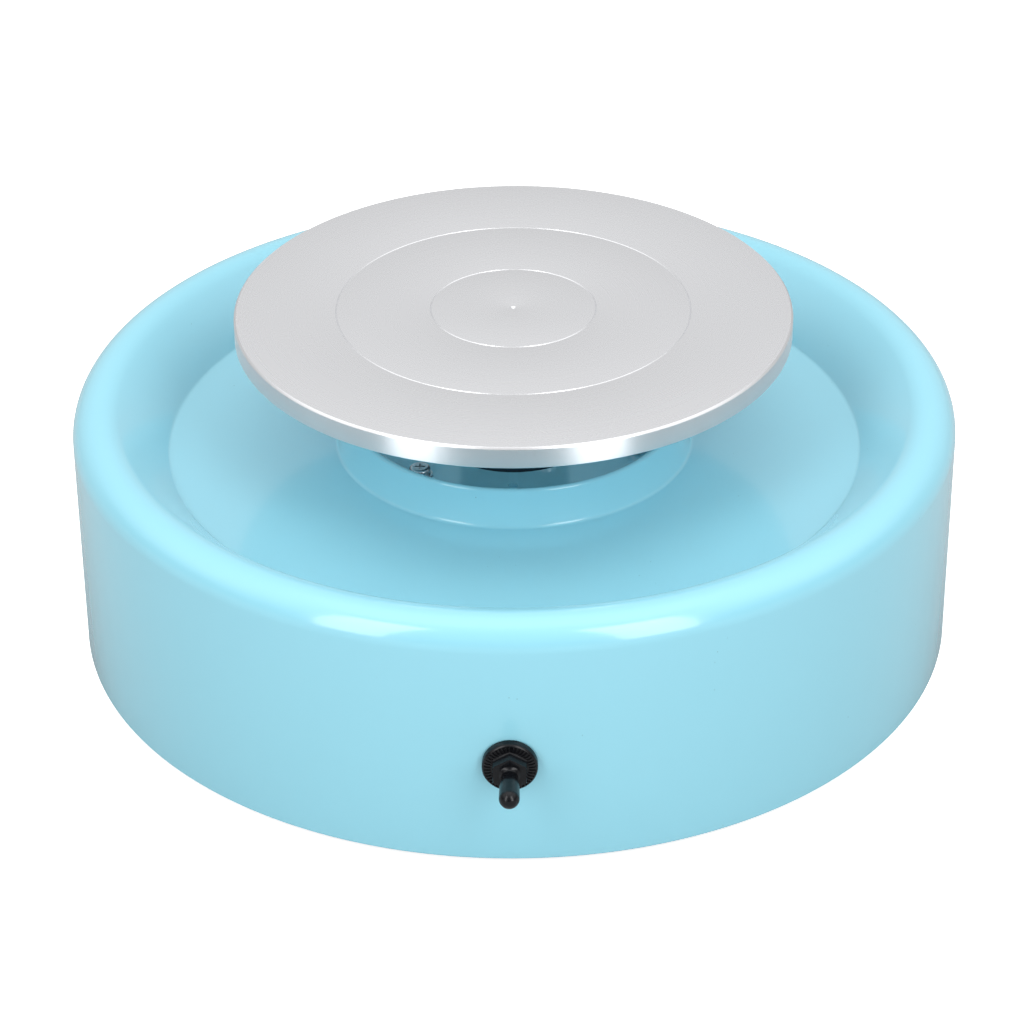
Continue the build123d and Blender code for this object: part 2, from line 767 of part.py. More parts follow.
# first pin: one stage from both the motor's axis and the second pin
first_angle = second_angle + math.pi / 3
first_pin = (stage_distance * math.cos(first_angle), stage_distance * math.sin(first_angle))
first_to_second = math.atan2(second_pin[1] - first_pin[1], second_pin[0] - first_pin[0])
second_to_output = math.atan2(-second_pin[1], shaft_offset - second_pin[0])

motor_phase = 0.0
first_wheel_phase = meshing_phase(motor_phase, pinion_teeth, first_angle, wheel_teeth)
first_pinion_phase = first_wheel_phase
second_wheel_phase = meshing_phase(first_pinion_phase, pinion_teeth, first_to_second, wheel_teeth)
second_pinion_phase = second_wheel_phase
output_phase = meshing_phase(second_pinion_phase, pinion_teeth, second_to_output, output_teeth)

# three layers of gears fill the case, each with play at both ends, the output gear's less by one
gear_stack = gearbox_roof - gearbox_floor
face_width = (gear_stack - (2 * gear_layers - 1) * end_play) / gear_layers
layer_1 = gearbox_floor + 2 * end_play
layer_2 = layer_1 + face_width + 2 * end_play
layer_3 = layer_2 + face_width + 2 * end_play
post_angles = (
    second_angle - math.radians(post_spacing),
    first_angle + math.radians(post_spacing),
    math.radians(lone_post_angle),
)
post_places = [
    (motor_x + mount_screw_circle * math.cos(a), mount_screw_circle * math.sin(a)) for a in post_angles
]
pin_places = [(motor_x + x, y) for x, y in (first_pin, second_pin)]
post_screw_radius = 1.0
bush_radius = output_shaft_radius + 1.5

with BuildPart() as gearbox_case:
    with BuildSketch(Plane.XY.offset(gearbox_floor)):
        with Locations((motor_x, 0)):
            Circle(gearbox_radius)
            Circle(gearbox_radius - gearbox_skin, mode=Mode.SUBTRACT)
    extrude(amount=gearbox_roof - gearbox_floor)
    with BuildSketch(Plane.XY.offset(gearbox_roof)):
        with Locations((motor_x, 0)):
            Circle(gearbox_radius)
    extrude(amount=gearbox_face)
    with BuildSketch(Plane.XY.offset(gearbox_floor)):
        with Locations(*post_places):
            Circle(post_radius)
    extrude(amount=gearbox_roof - gearbox_floor)
    with Locations((0, 0, plate_bottom)):
        Cylinder(boss_radius, boss_height, align=ON_TOP)
    with Locations((0, 0, gearbox_roof)):
        Cylinder(bush_radius, gearbox_face + boss_height, align=ON_TOP, mode=Mode.SUBTRACT)
    with BuildSketch(Plane.XY.offset(gearbox_roof)):
        with Locations(*mount_places):
            Circle(mount_screw_radius)
    extrude(amount=gearbox_face, mode=Mode.SUBTRACT)
    with BuildSketch(Plane.XY.offset(gearbox_floor)):
        with Locations(*post_places):
            Circle(post_screw_radius)
    extrude(amount=8, mode=Mode.SUBTRACT)
    with BuildSketch(Plane.XY.offset(gearbox_roof)):
        with Locations(*pin_places):
            Circle(gear_pin_radius)
    extrude(amount=gearbox_face / 2, mode=Mode.SUBTRACT)
export(gearbox_case.part, "gearbox_case")

motor_screw_circle = 8.5
motor_screw_radius = 1.0
motor_screw_places = [
    (
        motor_x + motor_screw_circle * math.cos(math.radians(a)),
        motor_screw_circle * math.sin(math.radians(a)),
    )
    for a in (30, 210)
]
front_bush_radius = 3.0

with BuildPart() as gearbox_back_plate:
    with BuildSketch(Plane.XY.offset(gearbox_bottom)):
        with Locations((motor_x, 0)):
            Circle(gearbox_radius)
            Circle(front_bush_radius + slip, mode=Mode.SUBTRACT)
        with Locations(*post_places):
            Circle(post_screw_radius + slip, mode=Mode.SUBTRACT)
        with Locations(*pin_places):
            Circle(gear_pin_radius, mode=Mode.SUBTRACT)
        with Locations(*motor_screw_places):
            Circle(motor_screw_radius, mode=Mode.SUBTRACT)
    extrude(amount=gearbox_back)
    for x, y in motor_screw_places:
        with Locations((x, y, gearbox_floor)):
            Cone(
                motor_screw_radius, motor_screw_radius * 1.9, motor_screw_radius * 0.9,
                align=BELOW, mode=Mode.SUBTRACT,
            )
export(gearbox_back_plate.part, "gearbox_back_plate")

post_screw_head = 1.2

with BuildPart() as gearbox_screws:
    for x, y in post_places:
        add(
            pan_screw(
                x, y, gearbox_bottom, post_screw_radius, gearbox_back + 7,
                post_screw_radius * 1.9, post_screw_head, up=False,
            )
        )
export(gearbox_screws.part, "gearbox_screws")

with BuildPart() as gear_pins:
    with BuildSketch(Plane.XY.offset(gearbox_bottom)):
        with Locations(*pin_places):
            Circle(gear_pin_radius)
    extrude(amount=gearbox_roof + gearbox_face / 2 - gearbox_bottom)
export(gear_pins.part, "gear_pins")

with BuildPart() as output_bush:
    with BuildSketch(Plane.XY.offset(gearbox_roof)):
        Circle(bush_radius)
        Circle(output_shaft_radius + running, mode=Mode.SUBTRACT)
    extrude(amount=gearbox_face + boss_height)
export(output_bush.part, "output_bush")

with BuildPart() as output_shaft:
    with Locations((0, 0, layer_3 - end_play)):
        Cylinder(output_shaft_radius, shaft_top - layer_3 + end_play, align=ON_TOP)
    chamfer(output_shaft.edges().filter_by(GeomType.CIRCLE).sort_by(Axis.Z)[-1], 0.4)
    with BuildSketch(Plane.XY.offset(spindle_bottom)):
        with Locations((shaft_flat, 0)):
            Rectangle(
                output_shaft_radius, 4 * output_shaft_radius, align=(Align.MIN, Align.CENTER)
            )
    extrude(amount=output_shaft_length, mode=Mode.SUBTRACT)
export(output_shaft.part, "output_shaft")

with BuildPart() as output_gear:
    add(gear_solid(output_teeth, output_phase, 0, 0, layer_3, face_width - end_play, output_shaft_radius))
export(output_gear.part, "output_gear")

bore = gear_pin_radius + running
first_x, first_y = pin_places[0]
second_x, second_y = pin_places[1]

with BuildPart() as first_gear:
    add(gear_solid(wheel_teeth, first_wheel_phase, first_x, first_y, layer_1, face_width, bore))
    add(
        gear_solid(
            pinion_teeth, first_pinion_phase, first_x, first_y, layer_1 + face_width,
            face_width + end_play, bore,
        )
    )
export(first_gear.part, "first_gear")

with BuildPart() as second_gear:
    add(gear_solid(wheel_teeth, second_wheel_phase, second_x, second_y, layer_2, face_width, bore))
    add(
        gear_solid(
            pinion_teeth, second_pinion_phase, second_x, second_y, layer_2 + face_width,
            face_width + end_play, bore,
        )
    )
export(second_gear.part, "second_gear")

# ---- motor ---------------------------------------------------------------------------------------------

cap_thickness = 2.5
can_top = gearbox_bottom
magnet_outer = motor_radius - motor_skin
magnet_inner = armature_radius + air_gap
commutator_bottom = motor_bottom + cap_thickness + 0.5
commutator_height = 4.0
core_bottom = commutator_bottom + commutator_height + 2.5
core_height = 9.0
winding_overhang = 1.5
brush_length = 4.0

with BuildPart() as motor_can:
    with Locations((motor_x, 0, motor_bottom)):
        Cylinder(motor_radius, motor_length, align=ON_TOP)
        Cylinder(magnet_outer, motor_length - motor_skin, align=ON_TOP, mode=Mode.SUBTRACT)
    chamfer(motor_can.edges().filter_by(GeomType.CIRCLE).group_by(Axis.Z)[-1], motor_skin * 0.5)
    with Locations((motor_x, 0, can_top)):
        Cylinder(front_bush_radius, 2 * motor_length, mode=Mode.SUBTRACT)
    for x, y in motor_screw_places:
        with Locations((x, y, can_top)):
            Cylinder(motor_screw_radius, 3 * motor_skin, mode=Mode.SUBTRACT)
    for x, y in post_places:
        with Locations((x, y, can_top)):
            Cylinder(
                post_screw_radius * 1.9 + slip, post_screw_head + slip, align=BELOW, mode=Mode.SUBTRACT
            )
export(motor_can.part, "motor_can")

with BuildPart() as motor_screws:
    for x, y in motor_screw_places:
        add(
            flat_screw(
                x, y, gearbox_floor, motor_screw_radius, gearbox_back + 2 * motor_skin,
                motor_screw_radius * 1.9,
            )
        )
export(motor_screws.part, "motor_screws")

with BuildPart() as motor_magnets:
    with BuildSketch(Plane.XY.offset(core_bottom - 1)):
        with Locations((motor_x, 0)):
            Circle(magnet_outer)
            Circle(magnet_inner, mode=Mode.SUBTRACT)
            Rectangle(magnet_outer, 3 * magnet_outer, mode=Mode.SUBTRACT)
    extrude(amount=core_height + 2)
export(motor_magnets.part, "motor_magnets")

terminal_places = [(motor_x, magnet_inner - 1), (motor_x, 1 - magnet_inner)]
brush_y = commutator_radius + body_gap
brush_places = [(motor_x, brush_y + brush_length / 2), (motor_x, -brush_y - brush_length / 2)]

with BuildPart() as motor_end_cap:
    with Locations((motor_x, 0, motor_bottom)):
        Cylinder(magnet_outer, cap_thickness, align=ON_TOP)
        with Locations((0, 0, 0.5)):
            Cylinder(front_bush_radius, cap_thickness, align=ON_TOP, mode=Mode.SUBTRACT)
    for x, y in terminal_places:
        with Locations((x, y, motor_bottom)):
            Box(3, 0.6, 4 * cap_thickness, mode=Mode.SUBTRACT)
export(motor_end_cap.part, "motor_end_cap")

with BuildPart() as motor_brushes:
    for x, y in brush_places:
        with Locations((x, y, motor_bottom + cap_thickness)):
            Box(2.5, brush_length, 3.5, align=ON_TOP)
export(motor_brushes.part, "motor_brushes")

terminal_drop = 2.6

with BuildPart() as motor_terminals:
    for x, y in terminal_places:
        with Locations((x, y, motor_bottom - terminal_drop)):
            Box(3, 0.6, terminal_drop + cap_thickness + 1.5, align=ON_TOP)
export(motor_terminals.part, "motor_terminals")

with BuildPart() as motor_bushes:
    with Locations((motor_x, 0, motor_bottom + 0.5)):
        Cylinder(front_bush_radius, cap_thickness - 0.5, align=ON_TOP)
    with Locations((motor_x, 0, gearbox_floor)):
        Cylinder(front_bush_radius, gearbox_back + 3, align=BELOW)
    with Locations((motor_x, 0, motor_bottom + motor_length / 2)):
        Cylinder(rotor_shaft_radius + running, 2 * motor_length, mode=Mode.SUBTRACT)
export(motor_bushes.part, "motor_bushes")

rotor_bottom = motor_bottom + 0.6
rotor_top = layer_1 + face_width + end_play

with BuildPart() as rotor_shaft:
    with Locations((motor_x, 0, rotor_bottom)):
        Cylinder(rotor_shaft_radius, rotor_top - rotor_bottom, align=ON_TOP)
export(rotor_shaft.part, "rotor_shaft")

with BuildPart() as motor_pinion:
    add(
        gear_solid(
            pinion_teeth, motor_phase, motor_x, 0, layer_1, face_width, rotor_shaft_radius
        )
    )
export(motor_pinion.part, "motor_pinion")

pole_width = 4.0
crown = 2.2

with BuildPart() as armature_core:
    with BuildSketch(Plane.XY.offset(core_bottom)):
        with Locations((motor_x, 0)):
            Circle(armature_radius)
            Circle(armature_radius - crown, mode=Mode.SUBTRACT)
            with PolarLocations(armature_radius, armature_poles, start_angle=36):
                Rectangle(3 * crown, 2.0, mode=Mode.SUBTRACT)
            Circle(4.5)
            with PolarLocations(armature_radius / 2, armature_poles):
                Rectangle(armature_radius - crown / 2, pole_width)
            Circle(rotor_shaft_radius, mode=Mode.SUBTRACT)
    extrude(amount=core_height)
export(armature_core.part, "armature_core")

coil_inner = 5.0
coil_side = pole_width / 2 + 1.0
coil_outer = math.sqrt((armature_radius - crown) ** 2 - coil_side**2) - 0.2

with BuildPart() as armature_windings:
    with BuildSketch(Plane.XY.offset(core_bottom - winding_overhang)):
        with Locations((motor_x, 0)):
            with PolarLocations((coil_inner + coil_outer) / 2, armature_poles):
                Rectangle(coil_outer - coil_inner, 2 * coil_side)
    extrude(amount=core_height + 2 * winding_overhang)
    with BuildSketch(Plane.XY.offset(core_bottom)):
        with Locations((motor_x, 0)):
            with PolarLocations((coil_inner + coil_outer) / 2, armature_poles):
                Rectangle(coil_outer, pole_width)
    extrude(amount=core_height, mode=Mode.SUBTRACT)
export(armature_windings.part, "armature_windings")

with BuildPart() as commutator:
    with BuildSketch(Plane.XY.offset(commutator_bottom)):
        with Locations((motor_x, 0)):
            Circle(commutator_radius)
            with PolarLocations(commutator_radius, armature_poles, start_angle=36):
                Rectangle(1.6, 0.4, mode=Mode.SUBTRACT)
            Circle(rotor_shaft_radius, mode=Mode.SUBTRACT)
    extrude(amount=commutator_height)
export(commutator.part, "commutator")

# ---- switch --------------------------------------------------------------------------------------------

# each piece is drawn on a plane that faces the front, at a distance out from the spin axis
bushing_out = switch_face + boot_hex_length + 0.6
nut_thickness = 2.0
frame_face = pad_face - nut_thickness - 0.5
frame_thickness = 0.5
body_front = frame_face - frame_thickness
body_rear = body_front - switch_body_depth
pivot_out = switch_face + 0.75
hex_out = switch_face + boot_flange_thickness + boot_hex_length

with BuildPart() as switch_bushing:
    with BuildSketch(Plane.XZ.offset(frame_face)):
        with Locations((0, switch_z)):
            Circle(bushing_radius)
            Circle(bushing_bore, mode=Mode.SUBTRACT)
    extrude(amount=bushing_out - frame_face)
    with BuildSketch(Plane.YZ):
        with Locations((-pivot_out, switch_z)):
            Circle(lever_pin_radius)
    extrude(amount=bushing_radius, both=True, mode=Mode.SUBTRACT)
export(switch_bushing.part, "switch_bushing")

with BuildPart() as lever_pin:
    with BuildSketch(Plane.YZ):
        with Locations((-pivot_out, switch_z)):
            Circle(lever_pin_radius)
    extrude(amount=bushing_radius - running, both=True)
export(lever_pin.part, "lever_pin")

with BuildPart() as switch_nut:
    with BuildSketch(Plane.XZ.offset(pad_face - nut_thickness)):
        with Locations((0, switch_z)):
            RegularPolygon(4.0, 6, major_radius=False)
            Circle(bushing_radius, mode=Mode.SUBTRACT)
    extrude(amount=nut_thickness)
export(switch_nut.part, "switch_nut")

with BuildPart() as switch_frame:
    with BuildSketch(Plane.XZ.offset(body_front)):
        with Locations((0, switch_z)):
            Rectangle(switch_body_width, switch_body_height + 2 * frame_thickness)
            Circle(bushing_bore + lever_swing, mode=Mode.SUBTRACT)
    extrude(amount=frame_thickness)
    with BuildSketch(Plane.XZ.offset(body_rear + 3)):
        for side in (1, -1):
            with Locations((0, switch_z + side * (switch_body_height + frame_thickness) / 2)):
                Rectangle(switch_body_width * 0.6, frame_thickness)
    extrude(amount=body_front - body_rear - 3)
export(switch_frame.part, "switch_frame")

with BuildPart() as switch_body:
    with BuildSketch(Plane.XZ.offset(body_rear)):
        with Locations((0, switch_z)):
            RectangleRounded(switch_body_width, switch_body_height, 0.6)
    extrude(amount=switch_body_depth)
    with BuildSketch(Plane.XZ.offset(body_front - 4)):
        with Locations((0, switch_z)):
            Rectangle(2 * bushing_bore, 7)
    extrude(amount=4, mode=Mode.SUBTRACT)
export(switch_body.part, "switch_body")

terminal_length = 4.5
terminal_pitch = 4.7

with BuildPart() as switch_terminals:
    with BuildSketch(Plane.XZ.offset(body_rear - terminal_length)):
        with Locations((0, switch_z)):
            with GridLocations(terminal_pitch, terminal_pitch, 2, 3):
                Rectangle(0.8, 2.0)
    extrude(amount=terminal_length)
export(switch_terminals.part, "switch_terminals")

with BuildPart() as boot_nut:
    with BuildSketch(Plane.XZ.offset(switch_face)):
        with Locations((0, switch_z)):
            Circle(boot_flange_radius)
    extrude(amount=boot_flange_thickness)
    with BuildSketch(Plane.XZ.offset(switch_face)):
        with Locations((0, switch_z)):
            with PolarLocations(boot_flange_radius + 0.1, serration_count):
                Rectangle(0.6, 0.45, rotation=45)
    extrude(amount=boot_flange_thickness, mode=Mode.SUBTRACT)
    with BuildSketch(Plane.XZ.offset(switch_face + boot_flange_thickness)):
        with Locations((0, switch_z)):
            RegularPolygon(boot_hex_across / 2, 6, major_radius=False, rotation=30)
    extrude(amount=boot_hex_length)
    with BuildSketch(Plane.XZ.offset(switch_face)):
        with Locations((0, switch_z)):
            Circle(bushing_radius)
    extrude(amount=bushing_out - switch_face, mode=Mode.SUBTRACT)
    with BuildSketch(Plane.XZ.offset(bushing_out)):
        with Locations((0, switch_z)):
            Circle(bushing_radius)
    extrude(amount=hex_out - bushing_out, mode=Mode.SUBTRACT)
export(boot_nut.part, "boot_nut")

lever_end = basin_radius + lever_reach - boot_sleeve_radius
sleeve_start = switch_face + boot_sleeve_root

tail_radius = lever_radius * 0.6
tail_end = pivot_out - body_front + 3
pivot_ball = bushing_bore - running
ball_to_tail = math.sqrt(pivot_ball**2 - tail_radius**2)
ball_to_lever = math.sqrt(pivot_ball**2 - lever_radius**2)

with BuildPart() as switch_lever:
    with BuildSketch(Plane((0, -pivot_out, switch_z), x_dir=(1, 0, 0), z_dir=(0, 0, 1))):
        with BuildLine():
            Polyline(
                (lever_radius, -ball_to_lever), (lever_radius, pivot_out - sleeve_start),
                (lever_radius * 1.25, pivot_out - lever_end), (0, pivot_out - lever_end),
                (0, tail_end), (tail_radius, tail_end), (tail_radius, ball_to_tail),
            )
            ThreePointArc(
                (tail_radius, ball_to_tail), (pivot_ball, 0), (lever_radius, -ball_to_lever)
            )
        make_face()
    revolve(axis=Axis((0, 0, switch_z), (0, 1, 0)))
    with BuildSketch(Plane.YZ):
        with Locations((-pivot_out, switch_z)):
            Circle(lever_pin_radius + running)
    extrude(amount=bushing_radius, both=True, mode=Mode.SUBTRACT)
export(switch_lever.part, "switch_lever")

with BuildPart() as boot_sleeve:
    with BuildSketch(Plane.XZ.offset(sleeve_start)):
        with Locations((0, switch_z)):
            Circle(boot_sleeve_radius)
    extrude(amount=lever_end - sleeve_start)
    with Locations((0, -lever_end, switch_z)):
        Sphere(boot_sleeve_radius)
    with BuildSketch(Plane((0, -sleeve_start, switch_z), x_dir=(1, 0, 0), z_dir=(0, 0, 1))):
        with BuildLine():
            Polyline(
                (0, 0), (lever_radius, 0), (lever_radius * 1.25, sleeve_start - lever_end),
                (0, sleeve_start - lever_end), close=True,
            )
        make_face()
    revolve(axis=Axis((0, 0, switch_z), (0, 1, 0)), mode=Mode.SUBTRACT)
export(boot_sleeve.part, "boot_sleeve")

# ---- power inlet ---------------------------------------------------------------------------------------

inlet_flange = 1.6
inlet_rear = switch_face - 13.0

with BuildPart() as inlet_body:
    with BuildSketch(Plane.XZ.offset(-switch_face)):
        with Locations((0, inlet_z)):
            Circle(inlet_flange_radius)
    extrude(amount=-inlet_flange)
    with BuildSketch(Plane.XZ.offset(-inlet_rear)):
        with Locations((0, inlet_z)):
            Circle(inlet_barrel_radius)
    extrude(amount=inlet_rear - switch_face)
    with BuildSketch(Plane.XZ.offset(-(switch_face + inlet_flange))):
        with Locations((0, inlet_z)):
            Circle(inlet_socket_radius)
    extrude(amount=inlet_depth, mode=Mode.SUBTRACT)
    with BuildSketch(Plane.XZ.offset(-(switch_face + inlet_flange))):
        with Locations((0, inlet_z)):
            Circle(inlet_pin_radius)
    extrude(amount=13.0 + inlet_flange, mode=Mode.SUBTRACT)
export(inlet_body.part, "inlet_body")

with BuildPart() as inlet_pin:
    with BuildSketch(Plane.XZ.offset(-(switch_face - 0.5))):
        with Locations((0, inlet_z)):
            Circle(inlet_pin_radius)
    extrude(amount=switch_face - 0.5 - inlet_rear + 2.0)
export(inlet_pin.part, "inlet_pin")

with BuildPart() as inlet_nut:
    with BuildSketch(Plane.XZ.offset(-pad_face)):
        with Locations((0, inlet_z)):
            RegularPolygon(5.5, 6, major_radius=False)
            Circle(inlet_barrel_radius, mode=Mode.SUBTRACT)
    extrude(amount=nut_thickness)
export(inlet_nut.part, "inlet_nut")

inlet_tag_length = 4.0

with BuildPart() as inlet_tags:
    with BuildSketch(Plane.XZ.offset(-inlet_rear)):
        with Locations((2.6, inlet_z), (-2.6, inlet_z)):
            Rectangle(0.5, 2.2)
    extrude(amount=inlet_tag_length)
export(inlet_tags.part, "inlet_tags")

# ---- wires inside, from the inlet to the switch and on to the motor ------------------------------------

run_z = cover_top + 2.0
inlet_end = inlet_rear - inlet_tag_length
switch_end = body_rear - terminal_length
motor_terminal_x = motor_x + 1.5
motor_terminal_y = magnet_inner - 1
motor_wire_z = motor_bottom - terminal_drop / 2
bend = 4.0

for name, side, sweep_x in (("positive_wires", 1, 22.0), ("negative_wires", -1, 10.0)):
    with BuildPart() as wires:
        add(
            tube(
                [
                    (side * 2.6, inlet_end, inlet_z), (side * 2.6, inlet_end - 10, inlet_z),
                    (side * 38, inlet_end - 40, run_z + 8), (side * 48, 0, run_z),
                    (side * 32, -switch_end + 30, run_z + 8),
                    (side * terminal_pitch / 2, -switch_end + 10, switch_z),
                    (side * terminal_pitch / 2, -switch_end, switch_z),
                ],
                wire_radius, bend,
            )
        )
        add(
            tube(
                [
                    (side * terminal_pitch / 2, -switch_end, switch_z - terminal_pitch),
                    (side * terminal_pitch / 2, -switch_end + 11, switch_z - terminal_pitch),
                    (side * sweep_x / 2, -switch_end + 37, run_z + 1.5),
                    (sweep_x, side * motor_terminal_y - 20, run_z),
                    (sweep_x, side * motor_terminal_y, motor_wire_z),
                    (motor_terminal_x, side * motor_terminal_y, motor_wire_z),
                ],
                wire_radius, bend,
            )
        )
    export(wires.part, name)
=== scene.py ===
"""Looks of a small tabletop pottery wheel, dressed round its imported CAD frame.

The basin, the wheel head and the rubber boot of the switch are fine meshes of their own. Every other
piece is its CAD node with a procedural finish. Lengths are metres, and the sizes of a class are
millimetres where its fields end in _mm.
"""

import json
import logging
import math
from collections.abc import Callable, Iterable, Sequence
from dataclasses import dataclass
from enum import Enum

import bmesh
import bpy
from mathutils import Matrix, Vector


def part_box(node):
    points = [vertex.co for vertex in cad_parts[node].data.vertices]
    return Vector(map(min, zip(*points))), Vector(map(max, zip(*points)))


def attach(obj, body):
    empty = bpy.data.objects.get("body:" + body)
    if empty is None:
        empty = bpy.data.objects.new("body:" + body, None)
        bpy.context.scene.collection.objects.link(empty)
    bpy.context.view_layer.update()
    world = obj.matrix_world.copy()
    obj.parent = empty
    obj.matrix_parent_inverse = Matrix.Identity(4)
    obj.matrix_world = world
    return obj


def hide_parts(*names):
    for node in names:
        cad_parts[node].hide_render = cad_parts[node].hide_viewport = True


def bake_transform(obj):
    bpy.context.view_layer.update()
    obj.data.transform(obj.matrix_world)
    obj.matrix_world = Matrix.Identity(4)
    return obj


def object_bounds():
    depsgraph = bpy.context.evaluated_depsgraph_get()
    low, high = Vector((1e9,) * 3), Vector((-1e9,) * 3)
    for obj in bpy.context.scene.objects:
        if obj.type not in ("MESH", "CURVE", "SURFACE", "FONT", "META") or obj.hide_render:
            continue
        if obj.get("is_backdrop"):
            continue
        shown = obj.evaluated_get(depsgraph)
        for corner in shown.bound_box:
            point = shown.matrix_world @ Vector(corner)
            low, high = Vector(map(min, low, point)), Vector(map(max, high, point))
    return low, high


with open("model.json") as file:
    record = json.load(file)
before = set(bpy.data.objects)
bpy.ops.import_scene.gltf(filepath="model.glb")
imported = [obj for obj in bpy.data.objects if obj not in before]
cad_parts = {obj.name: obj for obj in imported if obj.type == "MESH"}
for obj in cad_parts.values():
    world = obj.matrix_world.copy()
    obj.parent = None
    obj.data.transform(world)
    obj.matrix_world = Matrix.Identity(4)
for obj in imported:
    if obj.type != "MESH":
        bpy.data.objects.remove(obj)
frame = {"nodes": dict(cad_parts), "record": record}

MM = 0.001
SHARP_CORNER = math.radians(32)
log = logging.getLogger("pottery_wheel")

Point = tuple[float, float]
Colour = tuple[float, float, float]


class Body(Enum):
    """The bodies of the frame that new pieces ride on."""

    BASE = "base"
    WHEEL = "wheel"
    TOGGLE = "toggle"


# ---- outlines ----------------------------------------------------------------------------------------


@dataclass(frozen=True)
class Corner:
    """One corner of an outline, rounded by fillet.

    Attributes:
        across: distance from the axis.
        along: distance along the axis.
        fillet: radius of the rounding, 0 for none.
    """

    across: float
    along: float
    fillet: float = 0.0


def arc(centre: Point, radius: float, first: float, last: float, steps: int) -> list[Corner]:
    """Points of an arc.

    Args:
        centre: the arc's centre, as (across, along).
        radius: its radius.
        first: the angle where it starts, in degrees, 0 outwards and 90 up.
        last: the angle where it ends.
        steps: how many chords it has.

    Returns:
        steps + 1 corners with no fillet.
    """
    turns = (math.radians(first + (last - first) * i / steps) for i in range(steps + 1))
    return [
        Corner(centre[0] + radius * math.cos(t), centre[1] + radius * math.sin(t)) for t in turns
    ]


def rounded(corners: Sequence[Corner], closed: bool, steps: int = 5) -> list[Point]:
    """Turns corners into points, with an arc in place of each corner that has a fillet.

    Args:
        corners: the outline.
        closed: whether its last corner joins its first.
        steps: how many chords each fillet has.

    Returns:
        The outline's points.
    """
    points: list[Point] = []
    count = len(corners)
    for i, corner in enumerate(corners):
        here = Vector((corner.across, corner.along))
        at_end = not closed and i in (0, count - 1)
        if corner.fillet <= 0 or at_end:
            points.append((here.x, here.y))
            continue
        before = corners[i - 1]
        after = corners[(i + 1) % count]
        back = (Vector((before.across, before.along)) - here).normalized()
        ahead = (Vector((after.across, after.along)) - here).normalized()
        half = back.angle(ahead) / 2
        reach = corner.fillet / math.tan(half)
        centre = here + (back + ahead).normalized() * corner.fillet / math.sin(half)
        start = here + back * reach - centre
        sweep = start.angle_signed(here + ahead * reach - centre)
        for k in range(steps + 1):
            turned = start.copy()
            turned.rotate(Matrix.Rotation(-sweep * k / steps, 2))
            points.append((centre.x + turned.x, centre.y + turned.y))
    return points


# ---- mesh work ---------------------------------------------------------------------------------------


def skin(bm: bmesh.types.BMesh, rings: Sequence[Sequence[bmesh.types.BMVert]]) -> None:
    """Joins each ring of vertices to the next with quads, or with triangles at a single vertex.

    Args:
        bm: the mesh that the rings are in.
        rings: the rings, each of one vertex or of the same number of vertices.
    """
    around = max(len(ring) for ring in rings)
    for low, high in zip(rings, rings[1:]):
        for k in range(around):
            corners = [
                low[k % len(low)], low[(k + 1) % len(low)],
                high[(k + 1) % len(high)], high[k % len(high)],
            ]
            distinct = list(dict.fromkeys(corners))
            if len(distinct) > 2:
                bm.faces.new(distinct)


def turned(outline: Sequence[Point], segments: int, closed: bool) -> bmesh.types.BMesh:
    """A mesh turned about +Z.

    Args:
        outline: points as (radius, height).
        segments: how many segments it has around.
        closed: whether the outline is a ring that keeps clear of the axis.

    Returns:
        The new mesh.
    """
    bm = bmesh.new()
    turns = [math.tau * k / segments for k in range(segments)]
    rings = []
    for radius, height in outline:
        if radius < 1e-7:
            rings.append([bm.verts.new((0.0, 0.0, height))])
        else:
            rings.append(
                [bm.verts.new((radius * math.cos(t), radius * math.sin(t), height)) for t in turns]
            )
    if closed:
        rings.append(rings[0])
    skin(bm, rings)
    bmesh.ops.recalc_face_normals(bm, faces=bm.faces)
    return bm


def facing_front(bm: bmesh.types.BMesh, centre: Vector) -> bmesh.types.BMesh:
    """Lays a mesh that stands on +Z along -Y.

    Args:
        bm: the mesh, which is changed.
        centre: where its origin goes.

    Returns:
        The same mesh.
    """
    lay = Matrix(((1, 0, 0), (0, 0, -1), (0, 1, 0))).to_4x4()
    bmesh.ops.transform(bm, matrix=Matrix.Translation(centre) @ lay, verts=bm.verts)
    return bm


@dataclass
class Piece:
    """A visible piece: its mesh and what it is finished in.

    Attributes:
        name: its name in the table of pieces.
        mesh: its faces.
        finish: what it is made of.
        slot: the record's material slot; not used.
        stands_for: the CAD nodes that it replaces.
    """

    name: str
    mesh: bmesh.types.BMesh
    finish: "Finish"
    slot: str
    stands_for: tuple[str, ...] = ()

    def make(self) -> bpy.types.Object:
        """Makes the Blender object, smooth but for its sharp corners."""
        data = bpy.data.meshes.new(self.name)
        self.mesh.to_mesh(data)
        self.mesh.free()
        thing = bpy.data.objects.new(self.name, data)
        bpy.context.scene.collection.objects.link(thing)
        self.dress(thing)
        return thing

    def dress(self, thing: bpy.types.Object) -> None:
        """Smooths the object, gives it its finish and hides the nodes it stands for.

        Args:
            thing: the object, with its mesh final.
        """
        data = thing.data
        data.shade_smooth()
        data.set_sharp_from_angle(angle=SHARP_CORNER)
        data.materials.clear()
        data.materials.append(self.finish.material())
        if self.stands_for:
            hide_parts(*self.stands_for)
        log.info("%s: %d faces", self.name, len(data.polygons))


